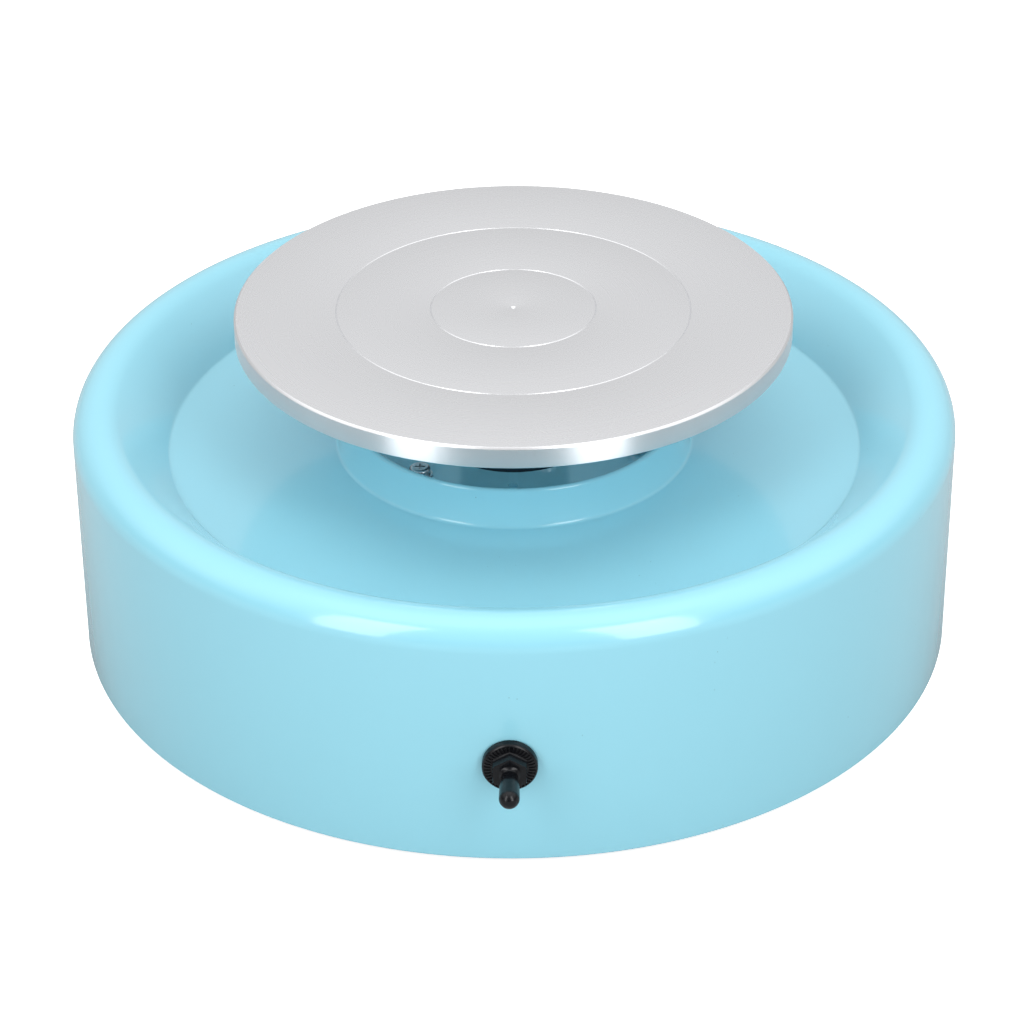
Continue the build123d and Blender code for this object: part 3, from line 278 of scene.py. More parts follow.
def cylinder(radius: float, low: Vector, high: Vector, segments: int = 64) -> bpy.types.Object:
    """A plain closed cylinder between two points, to cut or add with.

    Args:
        radius: its radius.
        low: the middle of one end.
        high: the middle of the other.
        segments: how many sides it has.

    Returns:
        The object, which is linked to the scene.
    """
    along = high - low
    bm = bmesh.new()
    bmesh.ops.create_cone(
        bm, cap_ends=True, segments=segments, radius1=radius, radius2=radius, depth=along.length
    )
    turn = along.to_track_quat("Z", "Y").to_matrix().to_4x4()
    bmesh.ops.transform(bm, matrix=Matrix.Translation((low + high) / 2) @ turn, verts=bm.verts)
    data = bpy.data.meshes.new("tool")
    bm.to_mesh(data)
    bm.free()
    thing = bpy.data.objects.new("tool", data)
    bpy.context.scene.collection.objects.link(thing)
    return thing


def carve(thing: bpy.types.Object, tools: Iterable[bpy.types.Object], operation: str) -> None:
    """Cuts tools out of an object, or adds them to it, and removes them.

    Args:
        thing: the object that is changed.
        tools: closed objects.
        operation: DIFFERENCE or UNION.
    """
    for tool in tools:
        step = thing.modifiers.new("carve", "BOOLEAN")
        step.operation = operation
        step.object = tool
        step.solver = "EXACT"
        shown = thing.evaluated_get(bpy.context.evaluated_depsgraph_get())
        data = bpy.data.meshes.new_from_object(shown)
        thing.modifiers.clear()
        old, thing.data = thing.data, data
        bpy.data.meshes.remove(old)
        bpy.data.objects.remove(tool)
    thing.data.name = thing.name


# ---- shader nodes ------------------------------------------------------------------------------------


class Graph:
    """A node tree with short ways to add and join its nodes."""

    def __init__(self, tree: bpy.types.NodeTree) -> None:
        """Keeps the tree.

        Args:
            tree: a material's node tree or a node group.
        """
        self.tree = tree

    def node(self, kind: str, **settings: object) -> bpy.types.Node:
        """Adds a node.

        Args:
            kind: its type's name after ShaderNode.
            settings: its properties.

        Returns:
            The node.
        """
        made = self.tree.nodes.new("ShaderNode" + kind)
        for name, value in settings.items():
            setattr(made, name, value)
        return made

    def feed(self, socket: bpy.types.NodeSocket, value: object) -> None:
        """Joins an output to a socket, or sets the socket's own value.

        Args:
            socket: the input.
            value: an output socket, a number or a colour.
        """
        if isinstance(value, bpy.types.NodeSocket):
            self.tree.links.new(value, socket)
        else:
            socket.default_value = value

    def maths(self, operation: str, *values: object) -> bpy.types.NodeSocket:
        """Adds a Math node.

        Args:
            operation: such as MULTIPLY.
            values: numbers or outputs.

        Returns:
            Its output.
        """
        made = self.node("Math", operation=operation)
        for socket, value in zip(made.inputs, values):
            self.feed(socket, value)
        return made.outputs[0]

    def ramp(
        self, value: object, low: float, high: float, to_low: float, to_high: float,
    ) -> bpy.types.NodeSocket:
        """Maps a range of a value to another, held at its ends.

        Args:
            value: the output that is mapped.
            low: the value that becomes to_low.
            high: the value that becomes to_high.
            to_low: result at low.
            to_high: result at high.

        Returns:
            The mapped output.
        """
        made = self.node("MapRange", clamp=True)
        for socket, given in zip(made.inputs, (value, low, high, to_low, to_high)):
            self.feed(socket, given)
        return made.outputs[0]

    def noise(
        self, place: object, scale: object, detail: float = 3.0, rough: float = 0.55,
    ) -> bpy.types.NodeSocket:
        """Adds a noise texture in three dimensions.

        Args:
            place: the coordinate output.
            scale: cells per metre.
            detail: how many octaves.
            rough: how strong the finer ones are.

        Returns:
            Its value, from 0 to 1.
        """
        made = self.node("TexNoise", noise_dimensions="3D")
        self.feed(made.inputs["Vector"], place)
        self.feed(made.inputs["Scale"], scale)
        self.feed(made.inputs["Detail"], detail)
        self.feed(made.inputs["Roughness"], rough)
        return made.outputs["Fac"]

    def mix(self, share: object, first: object, second: object, blend: str = "MIX") -> bpy.types.NodeSocket:
        """Mixes two colours.

        Args:
            share: how much of the second.
            first: an output or a colour with alpha.
            second: an output or a colour with alpha.
            blend: the blend type.

        Returns:
            The mixed colour.
        """
        made = self.node("Mix", data_type="RGBA", blend_type=blend)
        self.feed(made.inputs["Factor"], share)
        self.feed(made.inputs[6], first)
        self.feed(made.inputs[7], second)
        return made.outputs[2]


def group(name: str, takes: dict[str, tuple[str, object]], gives: dict[str, str],
          fill: Callable[[Graph, dict, dict], None]) -> bpy.types.NodeTree:
    """Makes a shader node group once, and finds it after that.

    Args:
        name: the group's name.
        takes: each input's socket type and default.
        gives: each output's socket type.
        fill: builds the inside, from the graph, the inputs' outputs by name and the outputs' inputs by name.

    Returns:
        The group.
    """
    found = bpy.data.node_groups.get(name)
    if found:
        return found
    tree = bpy.data.node_groups.new(name, "ShaderNodeTree")
    for label, (kind, value) in takes.items():
        socket = tree.interface.new_socket(label, in_out="INPUT", socket_type=kind)
        if value is not None:
            socket.default_value = value
    for label, kind in gives.items():
        tree.interface.new_socket(label, in_out="OUTPUT", socket_type=kind)
    entry = tree.nodes.new("NodeGroupInput")
    leave = tree.nodes.new("NodeGroupOutput")
    fill(
        Graph(tree), {s.name: s for s in entry.outputs if s.name},
        {s.name: s for s in leave.inputs if s.name},
    )
    return tree


NUMBER = "NodeSocketFloat"
VECTOR = "NodeSocketVector"
COLOUR = "NodeSocketColor"


def colour_drift() -> bpy.types.NodeTree:
    """A colour that drifts a little over the surface, with fine specks of dust."""

    def fill(graph: Graph, takes: dict, gives: dict) -> None:
        """Builds the inside."""
        broad = graph.noise(takes["Place"], takes["Scale"], 2.0)
        swing = graph.maths("MULTIPLY", graph.maths("SUBTRACT", broad, 0.5), takes["Amount"])
        lift = graph.maths("ADD", swing, 1.0)
        shaded = graph.node("VectorMath", operation="SCALE")
        graph.feed(shaded.inputs[0], takes["Colour"])
        graph.feed(shaded.inputs["Scale"], lift)
        cells = graph.node("TexVoronoi", feature="F1")
        graph.feed(cells.inputs["Vector"], takes["Place"])
        graph.feed(cells.inputs["Scale"], takes["Speck Scale"])
        near = graph.ramp(cells.outputs["Distance"], 0.03, 0.05, 1.0, 0.0)
        rare = graph.maths("GREATER_THAN", graph.noise(takes["Place"], 61.0, 1.0), 0.64)
        speck = graph.maths("MULTIPLY", graph.maths("MULTIPLY", near, rare), takes["Specks"])
        graph.feed(gives["Colour"], graph.mix(speck, shaded.outputs[0], takes["Speck Colour"]))
        graph.feed(gives["Specks"], speck)

    return group(
        "colour drift",
        {
            "Place": (VECTOR, None), "Colour": (COLOUR, (0.5, 0.5, 0.5, 1)), "Scale": (NUMBER, 30.0),
            "Amount": (NUMBER, 0.05), "Specks": (NUMBER, 0.0), "Speck Scale": (NUMBER, 300.0),
            "Speck Colour": (COLOUR, (0.05, 0.05, 0.05, 1)),
        },
        {"Colour": COLOUR, "Specks": NUMBER}, fill,
    )


def handling_marks() -> bpy.types.NodeTree:
    """Fine hairline scratches in crossing directions and smudges: a mask and a height."""

    def fill(graph: Graph, takes: dict, gives: dict) -> None:
        """Builds the inside."""
        total = None
        hair_width = 0.008
        for turn in (0.35, 1.25, 2.3):
            spun = graph.node("VectorRotate", rotation_type="Z_AXIS")
            graph.feed(spun.inputs["Vector"], takes["Place"])
            graph.feed(spun.inputs["Angle"], turn)
            long_way = graph.node("VectorMath", operation="MULTIPLY")
            graph.feed(long_way.inputs[0], spun.outputs[0])
            graph.feed(long_way.inputs[1], (1.0, 0.03, 0.03))
            hair = graph.noise(long_way.outputs[0], takes["Scale"], 1.0)
            off_middle = graph.maths("ABSOLUTE", graph.maths("SUBTRACT", hair, 0.5))
            line = graph.ramp(off_middle, 0.0, hair_width, 1.0, 0.0)
            here = graph.ramp(graph.noise(spun.outputs[0], 45.0, 1.0), 0.58, 0.68, 0.0, 1.0)
            hairline = graph.maths("MULTIPLY", line, here)
            total = hairline if total is None else graph.maths("MAXIMUM", total, hairline)
        graph.feed(gives["Scratches"], graph.maths("MULTIPLY", total, takes["Amount"]))
        smudge = graph.ramp(graph.noise(takes["Place"], 22.0, 4.0, 0.6), 0.45, 0.75, 0.0, 1.0)
        graph.feed(gives["Smudges"], graph.maths("MULTIPLY", smudge, takes["Amount"]))

    return group(
        "handling marks",
        {"Place": (VECTOR, None), "Scale": (NUMBER, 900.0), "Amount": (NUMBER, 0.5)},
        {"Scratches": NUMBER, "Smudges": NUMBER}, fill,
    )


def tool_rings() -> bpy.types.NodeTree:
    """The fine rings that a lathe tool leaves round +Z: a height and a slow change of shade."""

    def fill(graph: Graph, takes: dict, gives: dict) -> None:
        """Builds the inside."""
        split = graph.node("SeparateXYZ")
        graph.feed(split.inputs[0], takes["Place"])
        flat = graph.node("CombineXYZ")
        graph.feed(flat.inputs["X"], split.outputs["X"])
        graph.feed(flat.inputs["Y"], split.outputs["Y"])
        reach = graph.node("VectorMath", operation="LENGTH")
        graph.feed(reach.inputs[0], flat.outputs[0])
        out = graph.maths("ADD", reach.outputs["Value"], graph.maths("MULTIPLY", split.outputs["Z"], 0.7))
        for label, share in (("Height", 1.0), ("Shade", 0.08)):
            rings = graph.node("TexNoise", noise_dimensions="1D")
            graph.feed(rings.inputs["W"], out)
            graph.feed(rings.inputs["Scale"], graph.maths("DIVIDE", share, takes["Pitch"]))
            graph.feed(rings.inputs["Detail"], 3.0)
            graph.feed(gives[label], rings.outputs["Fac"])

    return group(
        "tool rings", {"Place": (VECTOR, None), "Pitch": (NUMBER, 0.00012)},
        {"Height": NUMBER, "Shade": NUMBER}, fill,
    )


def moulded_skin() -> bpy.types.NodeTree:
    """The skin of a moulding: a faint orange peel over slow sink marks, or a fine spark texture."""

    def fill(graph: Graph, takes: dict, gives: dict) -> None:
        """Builds the inside."""
        peel = graph.noise(takes["Place"], takes["Peel Scale"], 2.0)
        sink = graph.noise(takes["Place"], takes["Sink Scale"], 1.0)
        grain = graph.noise(takes["Place"], takes["Grain Scale"], 4.0, 0.7)
        height = graph.maths(
            "ADD",
            graph.maths("MULTIPLY", peel, takes["Peel"]),
            graph.maths("ADD", graph.maths("MULTIPLY", sink, takes["Sink"]),
                        graph.maths("MULTIPLY", grain, takes["Grain"])),
        )
        graph.feed(gives["Height"], height)
        graph.feed(gives["Grain"], grain)

    return group(
        "moulded skin",
        {
            "Place": (VECTOR, None), "Peel Scale": (NUMBER, 500.0), "Peel": (NUMBER, 0.2),
            "Sink Scale": (NUMBER, 40.0), "Sink": (NUMBER, 0.5), "Grain Scale": (NUMBER, 4000.0),
            "Grain": (NUMBER, 0.1),
        },
        {"Height": NUMBER, "Grain": NUMBER}, fill,
    )


# ---- finishes ----------------------------------------------------------------------------------------


@dataclass(frozen=True)
class Finish:
    """What a piece is finished in. Each kind of finish draws its own nodes.

    Attributes:
        name: the material's name.
        colour: its base colour, linear.
        roughness: its mean roughness.
    """

    name: str
    colour: Colour
    roughness: float

    def material(self) -> bpy.types.Material:
        """The Blender material, made on first use."""
        found = bpy.data.materials.get(self.name)
        if found:
            return found
        made = bpy.data.materials.new(self.name)
        made.use_nodes = True
        made.node_tree.nodes.clear()
        graph = Graph(made.node_tree)
        shader = graph.node("BsdfPrincipled")
        leave = graph.node("OutputMaterial")
        graph.feed(leave.inputs["Surface"], shader.outputs["BSDF"])
        place = graph.node("TexCoord").outputs["Object"]
        self.draw(graph, shader, place)
        return made

    def draw(self, graph: Graph, shader: bpy.types.Node, place: bpy.types.NodeSocket) -> None:
        """Draws the nodes between the coordinates and the shader.

        Args:
            graph: the material's graph.
            shader: its Principled shader.
            place: the coordinate output.
        """
        raise NotImplementedError

    def place_group(self, graph: Graph, tree: bpy.types.NodeTree, **values: object) -> bpy.types.Node:
        """Places a node group.

        Args:
            graph: the material's graph.
            tree: the group.
            values: its inputs by name, with _ for a space.

        Returns:
            The group's node.
        """
        made = graph.node("Group", node_tree=tree)
        for name, value in values.items():
            graph.feed(made.inputs[name.replace("_", " ")], value)
        return made

    def bump(self, graph: Graph, shader: bpy.types.Node, height: object, depth: float) -> None:
        """Feeds a height to the shader's normal.

        Args:
            graph: the material's graph.
            shader: its Principled shader.
            height: the height output, from 0 to 1.
            depth: how deep it is, in metres.
        """
        made = graph.node("Bump")
        graph.feed(made.inputs["Strength"], 1.0)
        graph.feed(made.inputs["Distance"], depth)
        graph.feed(made.inputs["Height"], height)
        graph.feed(shader.inputs["Normal"], made.outputs["Normal"])

    def rgba(self) -> tuple[float, float, float, float]:
        """The base colour with alpha."""
        return (*self.colour, 1.0)


@dataclass(frozen=True)
class Moulded(Finish):
    """Moulded plastic or rubber.

    Attributes:
        coat: weight of the clear gloss on top.
        peel_depth: depth of the skin's bumps, in metres.
        grain: share of the fine spark texture in the skin.
        sink: share of the slow sink marks.
        peel_scale: cells of orange peel per metre.
        drift: how far the colour drifts.
        marks: how much it has been handled.
        specks: how strongly dust specks show.
        speck_colour: their colour.
        sheen: the grey sheen of rubber.
        specular: how strongly its skin mirrors at a right angle, 0.5 for common plastic.
    """

    coat: float = 0.0
    peel_depth: float = 0.00002
    grain: float = 0.1
    sink: float = 0.5
    peel_scale: float = 500.0
    drift: float = 0.04
    marks: float = 0.3
    specks: float = 0.0
    speck_colour: Colour = (0.05, 0.06, 0.07)
    sheen: float = 0.0
    specular: float = 0.5

    def draw(self, graph: Graph, shader: bpy.types.Node, place: bpy.types.NodeSocket) -> None:
        """Draws the moulded skin, its handling marks and its drifting colour."""
        tint = self.place_group(
            graph, colour_drift(), Place=place, Colour=self.rgba(), Scale=28.0, Amount=self.drift,
            Specks=self.specks, Speck_Scale=330.0, Speck_Colour=(*self.speck_colour, 1.0),
        )
        marks = self.place_group(graph, handling_marks(), Place=place, Scale=850.0, Amount=self.marks)
        surface = self.place_group(
            graph, moulded_skin(), Place=place, Peel_Scale=self.peel_scale, Peel=0.2,
            Sink_Scale=35.0, Sink=self.sink, Grain_Scale=4200.0, Grain=self.grain,
        )
        graph.feed(shader.inputs["Base Color"], tint.outputs["Colour"])
        worn = graph.maths("MULTIPLY", marks.outputs["Scratches"], 0.22)
        smudged = graph.maths("MULTIPLY", marks.outputs["Smudges"], 0.12)
        grained = graph.maths("MULTIPLY", surface.outputs["Grain"], 0.05)
        spread = graph.maths("ADD", graph.maths("ADD", worn, smudged), grained)
        graph.feed(shader.inputs["Roughness"], graph.maths("ADD", spread, self.roughness))
        height = graph.maths("SUBTRACT", surface.outputs["Height"], graph.maths("MULTIPLY", worn, 0.6))
        self.bump(graph, shader, height, self.peel_depth)
        shader.inputs["Coat Weight"].default_value = self.coat
        shader.inputs["Coat Roughness"].default_value = 0.04
        shader.inputs["Sheen Weight"].default_value = self.sheen
        shader.inputs["Sheen Roughness"].default_value = 0.4
        shader.inputs["Specular IOR Level"].default_value = self.specular


@dataclass(frozen=True)
class Turned(Finish):
    """Metal turned on a lathe, with the tool's rings round the spin axis.

    Attributes:
        pitch: spacing of the tool's rings, in metres.
        depth: their depth, in metres.
        pull: how far the highlight is drawn out across the rings.
        shade: how much the rings change the roughness.
        marks: how much it has been handled.
        edge_roughness: roughness of the faces turned along the axis.
        edge_pull: how far the highlight is drawn out across the rings on those faces.
    """

    pitch: float = 0.00012
    depth: float = 0.000001
    pull: float = 0.2
    shade: float = 0.015
    marks: float = 0.2
    edge_roughness: float = 0.36
    edge_pull: float = 1.0

    def draw(self, graph: Graph, shader: bpy.types.Node, place: bpy.types.NodeSocket) -> None:
        """Draws the rings, their highlight and a few hairline marks."""
        rings = self.place_group(graph, tool_rings(), Place=place, Pitch=self.pitch)
        marks = self.place_group(graph, handling_marks(), Place=place, Scale=700.0, Amount=self.marks)
        tint = self.place_group(
            graph, colour_drift(), Place=place, Colour=self.rgba(), Scale=18.0, Amount=0.03,
        )
        ringed = graph.mix(
            graph.ramp(rings.outputs["Shade"], 0.3, 0.7, 0.0, self.shade), tint.outputs["Colour"],
            (0.45, 0.45, 0.46, 1.0),
        )
        graph.feed(shader.inputs["Base Color"], ringed)
        shader.inputs["Metallic"].default_value = 1.0
        swing = graph.ramp(rings.outputs["Shade"], 0.25, 0.75, -self.shade, self.shade)
        worn = graph.maths("MULTIPLY", marks.outputs["Scratches"], 0.2)
        smudged = graph.maths("MULTIPLY", marks.outputs["Smudges"], 0.08)
        spread = graph.maths("ADD", swing, graph.maths("ADD", worn, smudged))
        facing = graph.node("SeparateXYZ")
        graph.feed(facing.inputs[0], graph.node("TexCoord").outputs["Normal"])
        flat = graph.maths("ABSOLUTE", facing.outputs["Z"])
        cut = graph.ramp(flat, 0.4, 0.9, self.edge_roughness, self.roughness)
        graph.feed(shader.inputs["Roughness"], graph.maths("ADD", spread, cut))
        graph.feed(shader.inputs["Anisotropic"], graph.ramp(flat, 0.4, 0.9, self.edge_pull, self.pull))
        shader.inputs["Anisotropic Rotation"].default_value = 0.25
        tangent = graph.node("Tangent", direction_type="RADIAL", axis="Z")
        graph.feed(shader.inputs["Tangent"], tangent.outputs["Tangent"])
        self.bump(graph, shader, rings.outputs["Height"], self.depth)


class Grain(Enum):
    """How a plain metal piece was made, which sets its grain."""

    PLATED = (900.0, 0.000004)
    GROUND = (5200.0, 0.0000015)
    CAST = (1500.0, 0.00003)
    PRESSED = (2600.0, 0.00001)


@dataclass(frozen=True)
class Metal(Finish):
    """Plain metal, plated, ground, cast or pressed.

    Attributes:
        grain: how it was made.
        metallic: 1 for bare metal, less under lacquer or in a sintered body.
        mottle: how far the colour changes from grain to grain.
        coat: weight of a lacquer on top.
    """

    grain: Grain = Grain.PLATED
    metallic: float = 1.0
    mottle: float = 0.12
    coat: float = 0.0

    def draw(self, graph: Graph, shader: bpy.types.Node, place: bpy.types.NodeSocket) -> None:
        """Draws the grain, its mottled colour and a few scratches."""
        scale, depth = self.grain.value
        tint = self.place_group(
            graph, colour_drift(), Place=place, Colour=self.rgba(), Scale=scale * 0.4, Amount=self.mottle,
        )
        marks = self.place_group(graph, handling_marks(), Place=place, Scale=2400.0, Amount=0.5)
        surface = self.place_group(
            graph, moulded_skin(), Place=place, Peel_Scale=scale, Peel=0.5, Sink_Scale=120.0,
            Sink=0.3, Grain_Scale=scale * 3.0, Grain=0.3,
        )
        graph.feed(shader.inputs["Base Color"], tint.outputs["Colour"])
        shader.inputs["Metallic"].default_value = self.metallic
        worn = graph.maths("MULTIPLY", marks.outputs["Scratches"], 0.18)
        mottled = graph.ramp(surface.outputs["Grain"], 0.3, 0.7, -0.05, 0.07)
        spread = graph.maths("ADD", worn, mottled)
        graph.feed(shader.inputs["Roughness"], graph.maths("ADD", spread, self.roughness))
        self.bump(graph, shader, surface.outputs["Height"], depth)
        shader.inputs["Coat Weight"].default_value = self.coat
        shader.inputs["Coat Roughness"].default_value = 0.12


@dataclass(frozen=True)
class Wound(Finish):
    """Enamelled copper wire, wound in close turns.

    Attributes:
        wire: pitch of the turns, in metres.
    """

    wire: float = 0.00035

    def draw(self, graph: Graph, shader: bpy.types.Node, place: bpy.types.NodeSocket) -> None:
        """Draws the turns as bands, with painted shade in the grooves between them."""
        turns = graph.node("TexWave", wave_type="BANDS", bands_direction="DIAGONAL")
        graph.feed(turns.inputs["Vector"], place)
        graph.feed(turns.inputs["Scale"], 1.0 / (math.tau * self.wire) / 1.6)
        graph.feed(turns.inputs["Distortion"], 0.4)
        graph.feed(turns.inputs["Detail"], 1.0)
        tint = self.place_group(
            graph, colour_drift(), Place=place, Colour=self.rgba(), Scale=700.0, Amount=0.25,
        )
        # Painted shade: the wire's colour darkens to near-black copper in the grooves between the turns,
        # where shade falls.
        between = graph.ramp(turns.outputs["Fac"], 0.1, 0.5, 0.75, 0.0)
        graph.feed(
            shader.inputs["Base Color"],
            graph.mix(between, tint.outputs["Colour"], (0.05, 0.015, 0.008, 1.0)),
        )
        dulled = graph.ramp(turns.outputs["Fac"], 0.0, 1.0, 0.5, self.roughness)
        graph.feed(shader.inputs["Roughness"], dulled)
        shader.inputs["Metallic"].default_value = 0.85
        shader.inputs["Coat Weight"].default_value = 0.6
        shader.inputs["Coat Roughness"].default_value = 0.15
        self.bump(graph, shader, turns.outputs["Fac"], 0.0001)


BASIN_BLUE = Moulded(
    "pale blue gloss moulding", (0.292, 0.650, 0.775), 0.13, coat=0.35, peel_depth=0.000012,
    grain=0.0, sink=1.0, peel_scale=260.0, drift=0.015, marks=0.25, specks=0.55,
)
FINISHES: dict[str, Finish] = {
    "basin_abs": BASIN_BLUE,
    "cover_abs": Moulded(
        "dark spark-textured cover", (0.022, 0.022, 0.024), 0.46, peel_depth=0.00004, grain=1.0,
        drift=0.12, marks=0.5, specks=0.3, speck_colour=(0.3, 0.3, 0.3),
    ),
    "turned_aluminium": Turned("face-turned aluminium", (0.83, 0.835, 0.855), 0.27, depth=0.0000003),
    "machined_aluminium": Turned(
        "machined aluminium", (0.66, 0.67, 0.69), 0.3, pitch=0.0002, depth=0.000004, pull=0.4,
    ),
    "steel": Metal("zinc-plated steel", (0.58, 0.59, 0.61), 0.3),
    "bearing_steel": Metal(
        "ground bearing steel", (0.66, 0.66, 0.67), 0.16, grain=Grain.GROUND, mottle=0.05,
    ),
    # Blue-black of blued steel, partly painted light: the tint is pushed towards the basin's teal to stand
    # for the cyan light bounced into the shade under the disc.
    "blackened_steel": Metal(
        "blued steel with painted basin bounce", (0.035, 0.075, 0.10), 0.5, grain=Grain.PRESSED, metallic=0.5, mottle=0.2,
    ),
    "zinc_casting": Metal("die-cast zinc", (0.44, 0.45, 0.47), 0.48, grain=Grain.CAST, mottle=0.2),
    "brass": Metal("machined brass", (0.68, 0.47, 0.18), 0.28, grain=Grain.GROUND),
    "copper": Wound("enamelled copper wire", (0.60, 0.22, 0.09), 0.3),
    "ferrite": Metal(
        "sintered ferrite", (0.03, 0.03, 0.035), 0.6, grain=Grain.CAST, metallic=0.1, mottle=0.4,
    ),
    "carbon": Metal("pressed carbon", (0.018, 0.018, 0.02), 0.55, grain=Grain.PRESSED, metallic=0.3),
    "black_rubber": Moulded(
        "moulded black rubber", (0.004, 0.0045, 0.006), 0.2, peel_depth=0.000015, grain=0.3,
        drift=0.2, marks=0.3, specular=0.28,
    ),
    "black_plastic": Moulded(
        "black nylon", (0.015, 0.015, 0.017), 0.38, peel_depth=0.00002, grain=0.6, drift=0.15,
    ),
    "red_insulation": Moulded(
        "red wire insulation", (0.42, 0.018, 0.015), 0.32, coat=0.2, grain=0.2, drift=0.1,
    ),
    "black_insulation": Moulded(
        "black wire insulation", (0.014, 0.014, 0.016), 0.34, coat=0.2, grain=0.2, drift=0.1,
    ),
}


# ---- basin -------------------------------------------------------------------------------------------


@dataclass
class Basin:
    """The one-piece basin: outer wall, rolled rim, inner slope, floor, collar and deck.

    Its radius and its levels are the CAD shell's; the fields are its shape between them.
    """

    segments: int = 384
    wall_mm: float = 3.0
    nose_mm: float = 7.7
    slope_start_deg: float = 40.0
    rim_width_mm: float = 25.6
    floor_below_rim_mm: float = 15.1
    collar_foot_mm: float = 48.4
    collar_top_mm: float = 45.6
    collar_height_mm: float = 10.0
    lip_mm: float = 1.9
    collar_draft_mm: float = 0.5
    deck_rise_mm: float = 1.7
    deck_hole_mm: float = 22.0
    switch_height_mm: float = 29.7
    switch_flat_mm: float = 7.2
    bushing_hole_mm: float = 3.2
    inlet_height_mm: float = 22.0
    inlet_flat_mm: float = 6.2
    inlet_hole_mm: float = 4.2
    flat_depth_mm: float = 0.25
    pad_mm: float = 9.0
    pad_depth_mm: float = 0.8
    boss_mm: float = 4.5
    boss_count: int = 6
    boss_gap_mm: float = 0.5
    screw_circle_mm: float = 34.5
    screw_hole_mm: float = 1.7
    screw_angles: tuple[float, ...] = (-136.5, -16.5, 103.5)
    gate_mm: float = 1.3
    gate_place_mm: float = 29.2

    def __post_init__(self) -> None:
        """Reads the shell's radius and levels from the frame."""
        low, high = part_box("housing_shell")
        self.radius = high.x
        self.bottom = low.z
        self.rim = high.z
        self.floor = self.rim - self.floor_below_rim_mm * MM
        self.deck = self.floor + self.deck_rise_mm * MM

    def outline(self) -> list[Point]:
        """The closed section, out from the spin axis and up."""
        wall, nose = self.wall_mm * MM, self.nose_mm * MM
        centre = (self.radius - nose, self.rim - nose)
        start = math.radians(self.slope_start_deg)
        top = Vector((centre[0] - nose * math.sin(start), centre[1] + nose * math.cos(start)))
        crease = Vector((self.radius - self.rim_width_mm * MM, self.floor))
        chord = top - crease
        sweep = math.atan2(chord.y, chord.x) - start
        bend = chord.length / (2 * math.sin(sweep))
        middle = (
            centre[0] + (bend - nose) * math.sin(start), centre[1] - (bend - nose) * math.cos(start),
        )
        slope_end = self.slope_start_deg + 2 * math.degrees(sweep)
        under_floor = self.floor - wall
        thin = bend - wall
        under_end = 180 - math.degrees(math.asin((under_floor - middle[1]) / thin))
        step = (self.collar_foot_mm - self.wall_mm / 2) * MM
        lip = self.lip_mm * MM / 2
        collar_top = self.floor + self.collar_height_mm * MM - lip
        outer = self.collar_top_mm * MM
        inner = outer - 2 * lip
        hole = self.deck_hole_mm * MM
        small = 0.0004
        return rounded(
            [
                Corner(self.radius, self.bottom, 0.0005),
                *arc(centre, nose, 0, 90 + self.slope_start_deg, 40),
                *arc(middle, bend, 90 + self.slope_start_deg, 90 + slope_end, 14)[1:-1],
                Corner(crease.x, crease.y, 0.0012),
                Corner(self.collar_foot_mm * MM, self.floor, 0.0011),
                *arc((outer - lip, collar_top), lip, 0, 180, 14),
                Corner(inner + self.collar_draft_mm * MM, self.deck, 0.0006),
                Corner(hole, self.deck, small),
                Corner(hole, self.deck - wall, small),
                Corner(step, self.deck - wall, small),
                Corner(step, under_floor, small),
                *arc(middle, thin, under_end, 90 + self.slope_start_deg, 14)[:-1],
                *arc(centre, nose - wall, 90 + self.slope_start_deg, 0, 20),
                Corner(self.radius - wall, self.bottom, small),
            ],
            closed=True,
        )

    def cutters(self) -> list[bpy.types.Object]:
        """The flats and holes of the switch and the inlet, the deck's screw holes and its gate dimple."""
        tools = []
        face = self.radius - self.flat_depth_mm * MM
        places = (
            (-1, self.switch_height_mm, self.switch_flat_mm, self.bushing_hole_mm),
            (1, self.inlet_height_mm, self.inlet_flat_mm, self.inlet_hole_mm),
        )
        for side, height, flat, hole in places:
            level = self.bottom + height * MM
            outside = Vector((0, side * (self.radius + 0.003), level))
            tools.append(cylinder(flat * MM, Vector((0, side * face, level)), outside, 96))
            inside = Vector((0, side * (self.radius - 0.008), level))
            tools.append(cylinder(hole * MM, inside, outside))
        above, through, dimple = (Vector((0, 0, depth)) for depth in (0.002, 0.006, 0.0012))
        for angle in self.screw_angles:
            turn = math.radians(angle)
            place = Vector((math.cos(turn), math.sin(turn), 0)) * self.screw_circle_mm * MM
            place.z = self.deck
            tools.append(cylinder(self.screw_hole_mm * MM, place - through, place + above))
        gate = Vector((0, -self.gate_place_mm * MM, self.deck))
        tools.append(cylinder(self.gate_mm * MM, gate - dimple, gate + above))
        return tools

    def additions(self) -> list[bpy.types.Object]:
        """The pads for the nuts and the bosses for the cover's screws, under the skin."""
        added = []
        face = self.radius - (self.wall_mm + self.pad_depth_mm) * MM
        buried = self.radius - self.wall_mm * MM / 2
        for side, height in ((-1, self.switch_height_mm), (1, self.inlet_height_mm)):
            level = self.bottom + height * MM
            start, end = (Vector((0, side * reach, level)) for reach in (face, buried))
            added.append(cylinder(self.pad_mm * MM, start, end, 72))
        ring = self.radius - (self.wall_mm + self.boss_mm + self.boss_gap_mm) * MM
        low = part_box("bottom_cover")[1].z
        for i in range(self.boss_count):
            turn = math.tau * i / self.boss_count
            foot = Vector((ring * math.cos(turn), ring * math.sin(turn), low))
            top = foot + Vector((0, 0, self.floor - low + 0.006))
            added.append(cylinder(self.boss_mm * MM, foot, top, 48))
        return added

    def build(self) -> None:
        """Builds the shell and sets it on the base."""
        piece = Piece(
            "basin_moulding", turned(self.outline(), self.segments, closed=True), BASIN_BLUE,
            "basin_abs", ("housing_shell",),
        )
        shell = piece.make()
        carve(shell, self.additions(), "UNION")
        carve(shell, self.cutters(), "DIFFERENCE")
        piece.dress(shell)
        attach(shell, Body.BASE.value)


# ---- wheel head --------------------------------------------------------------------------------------


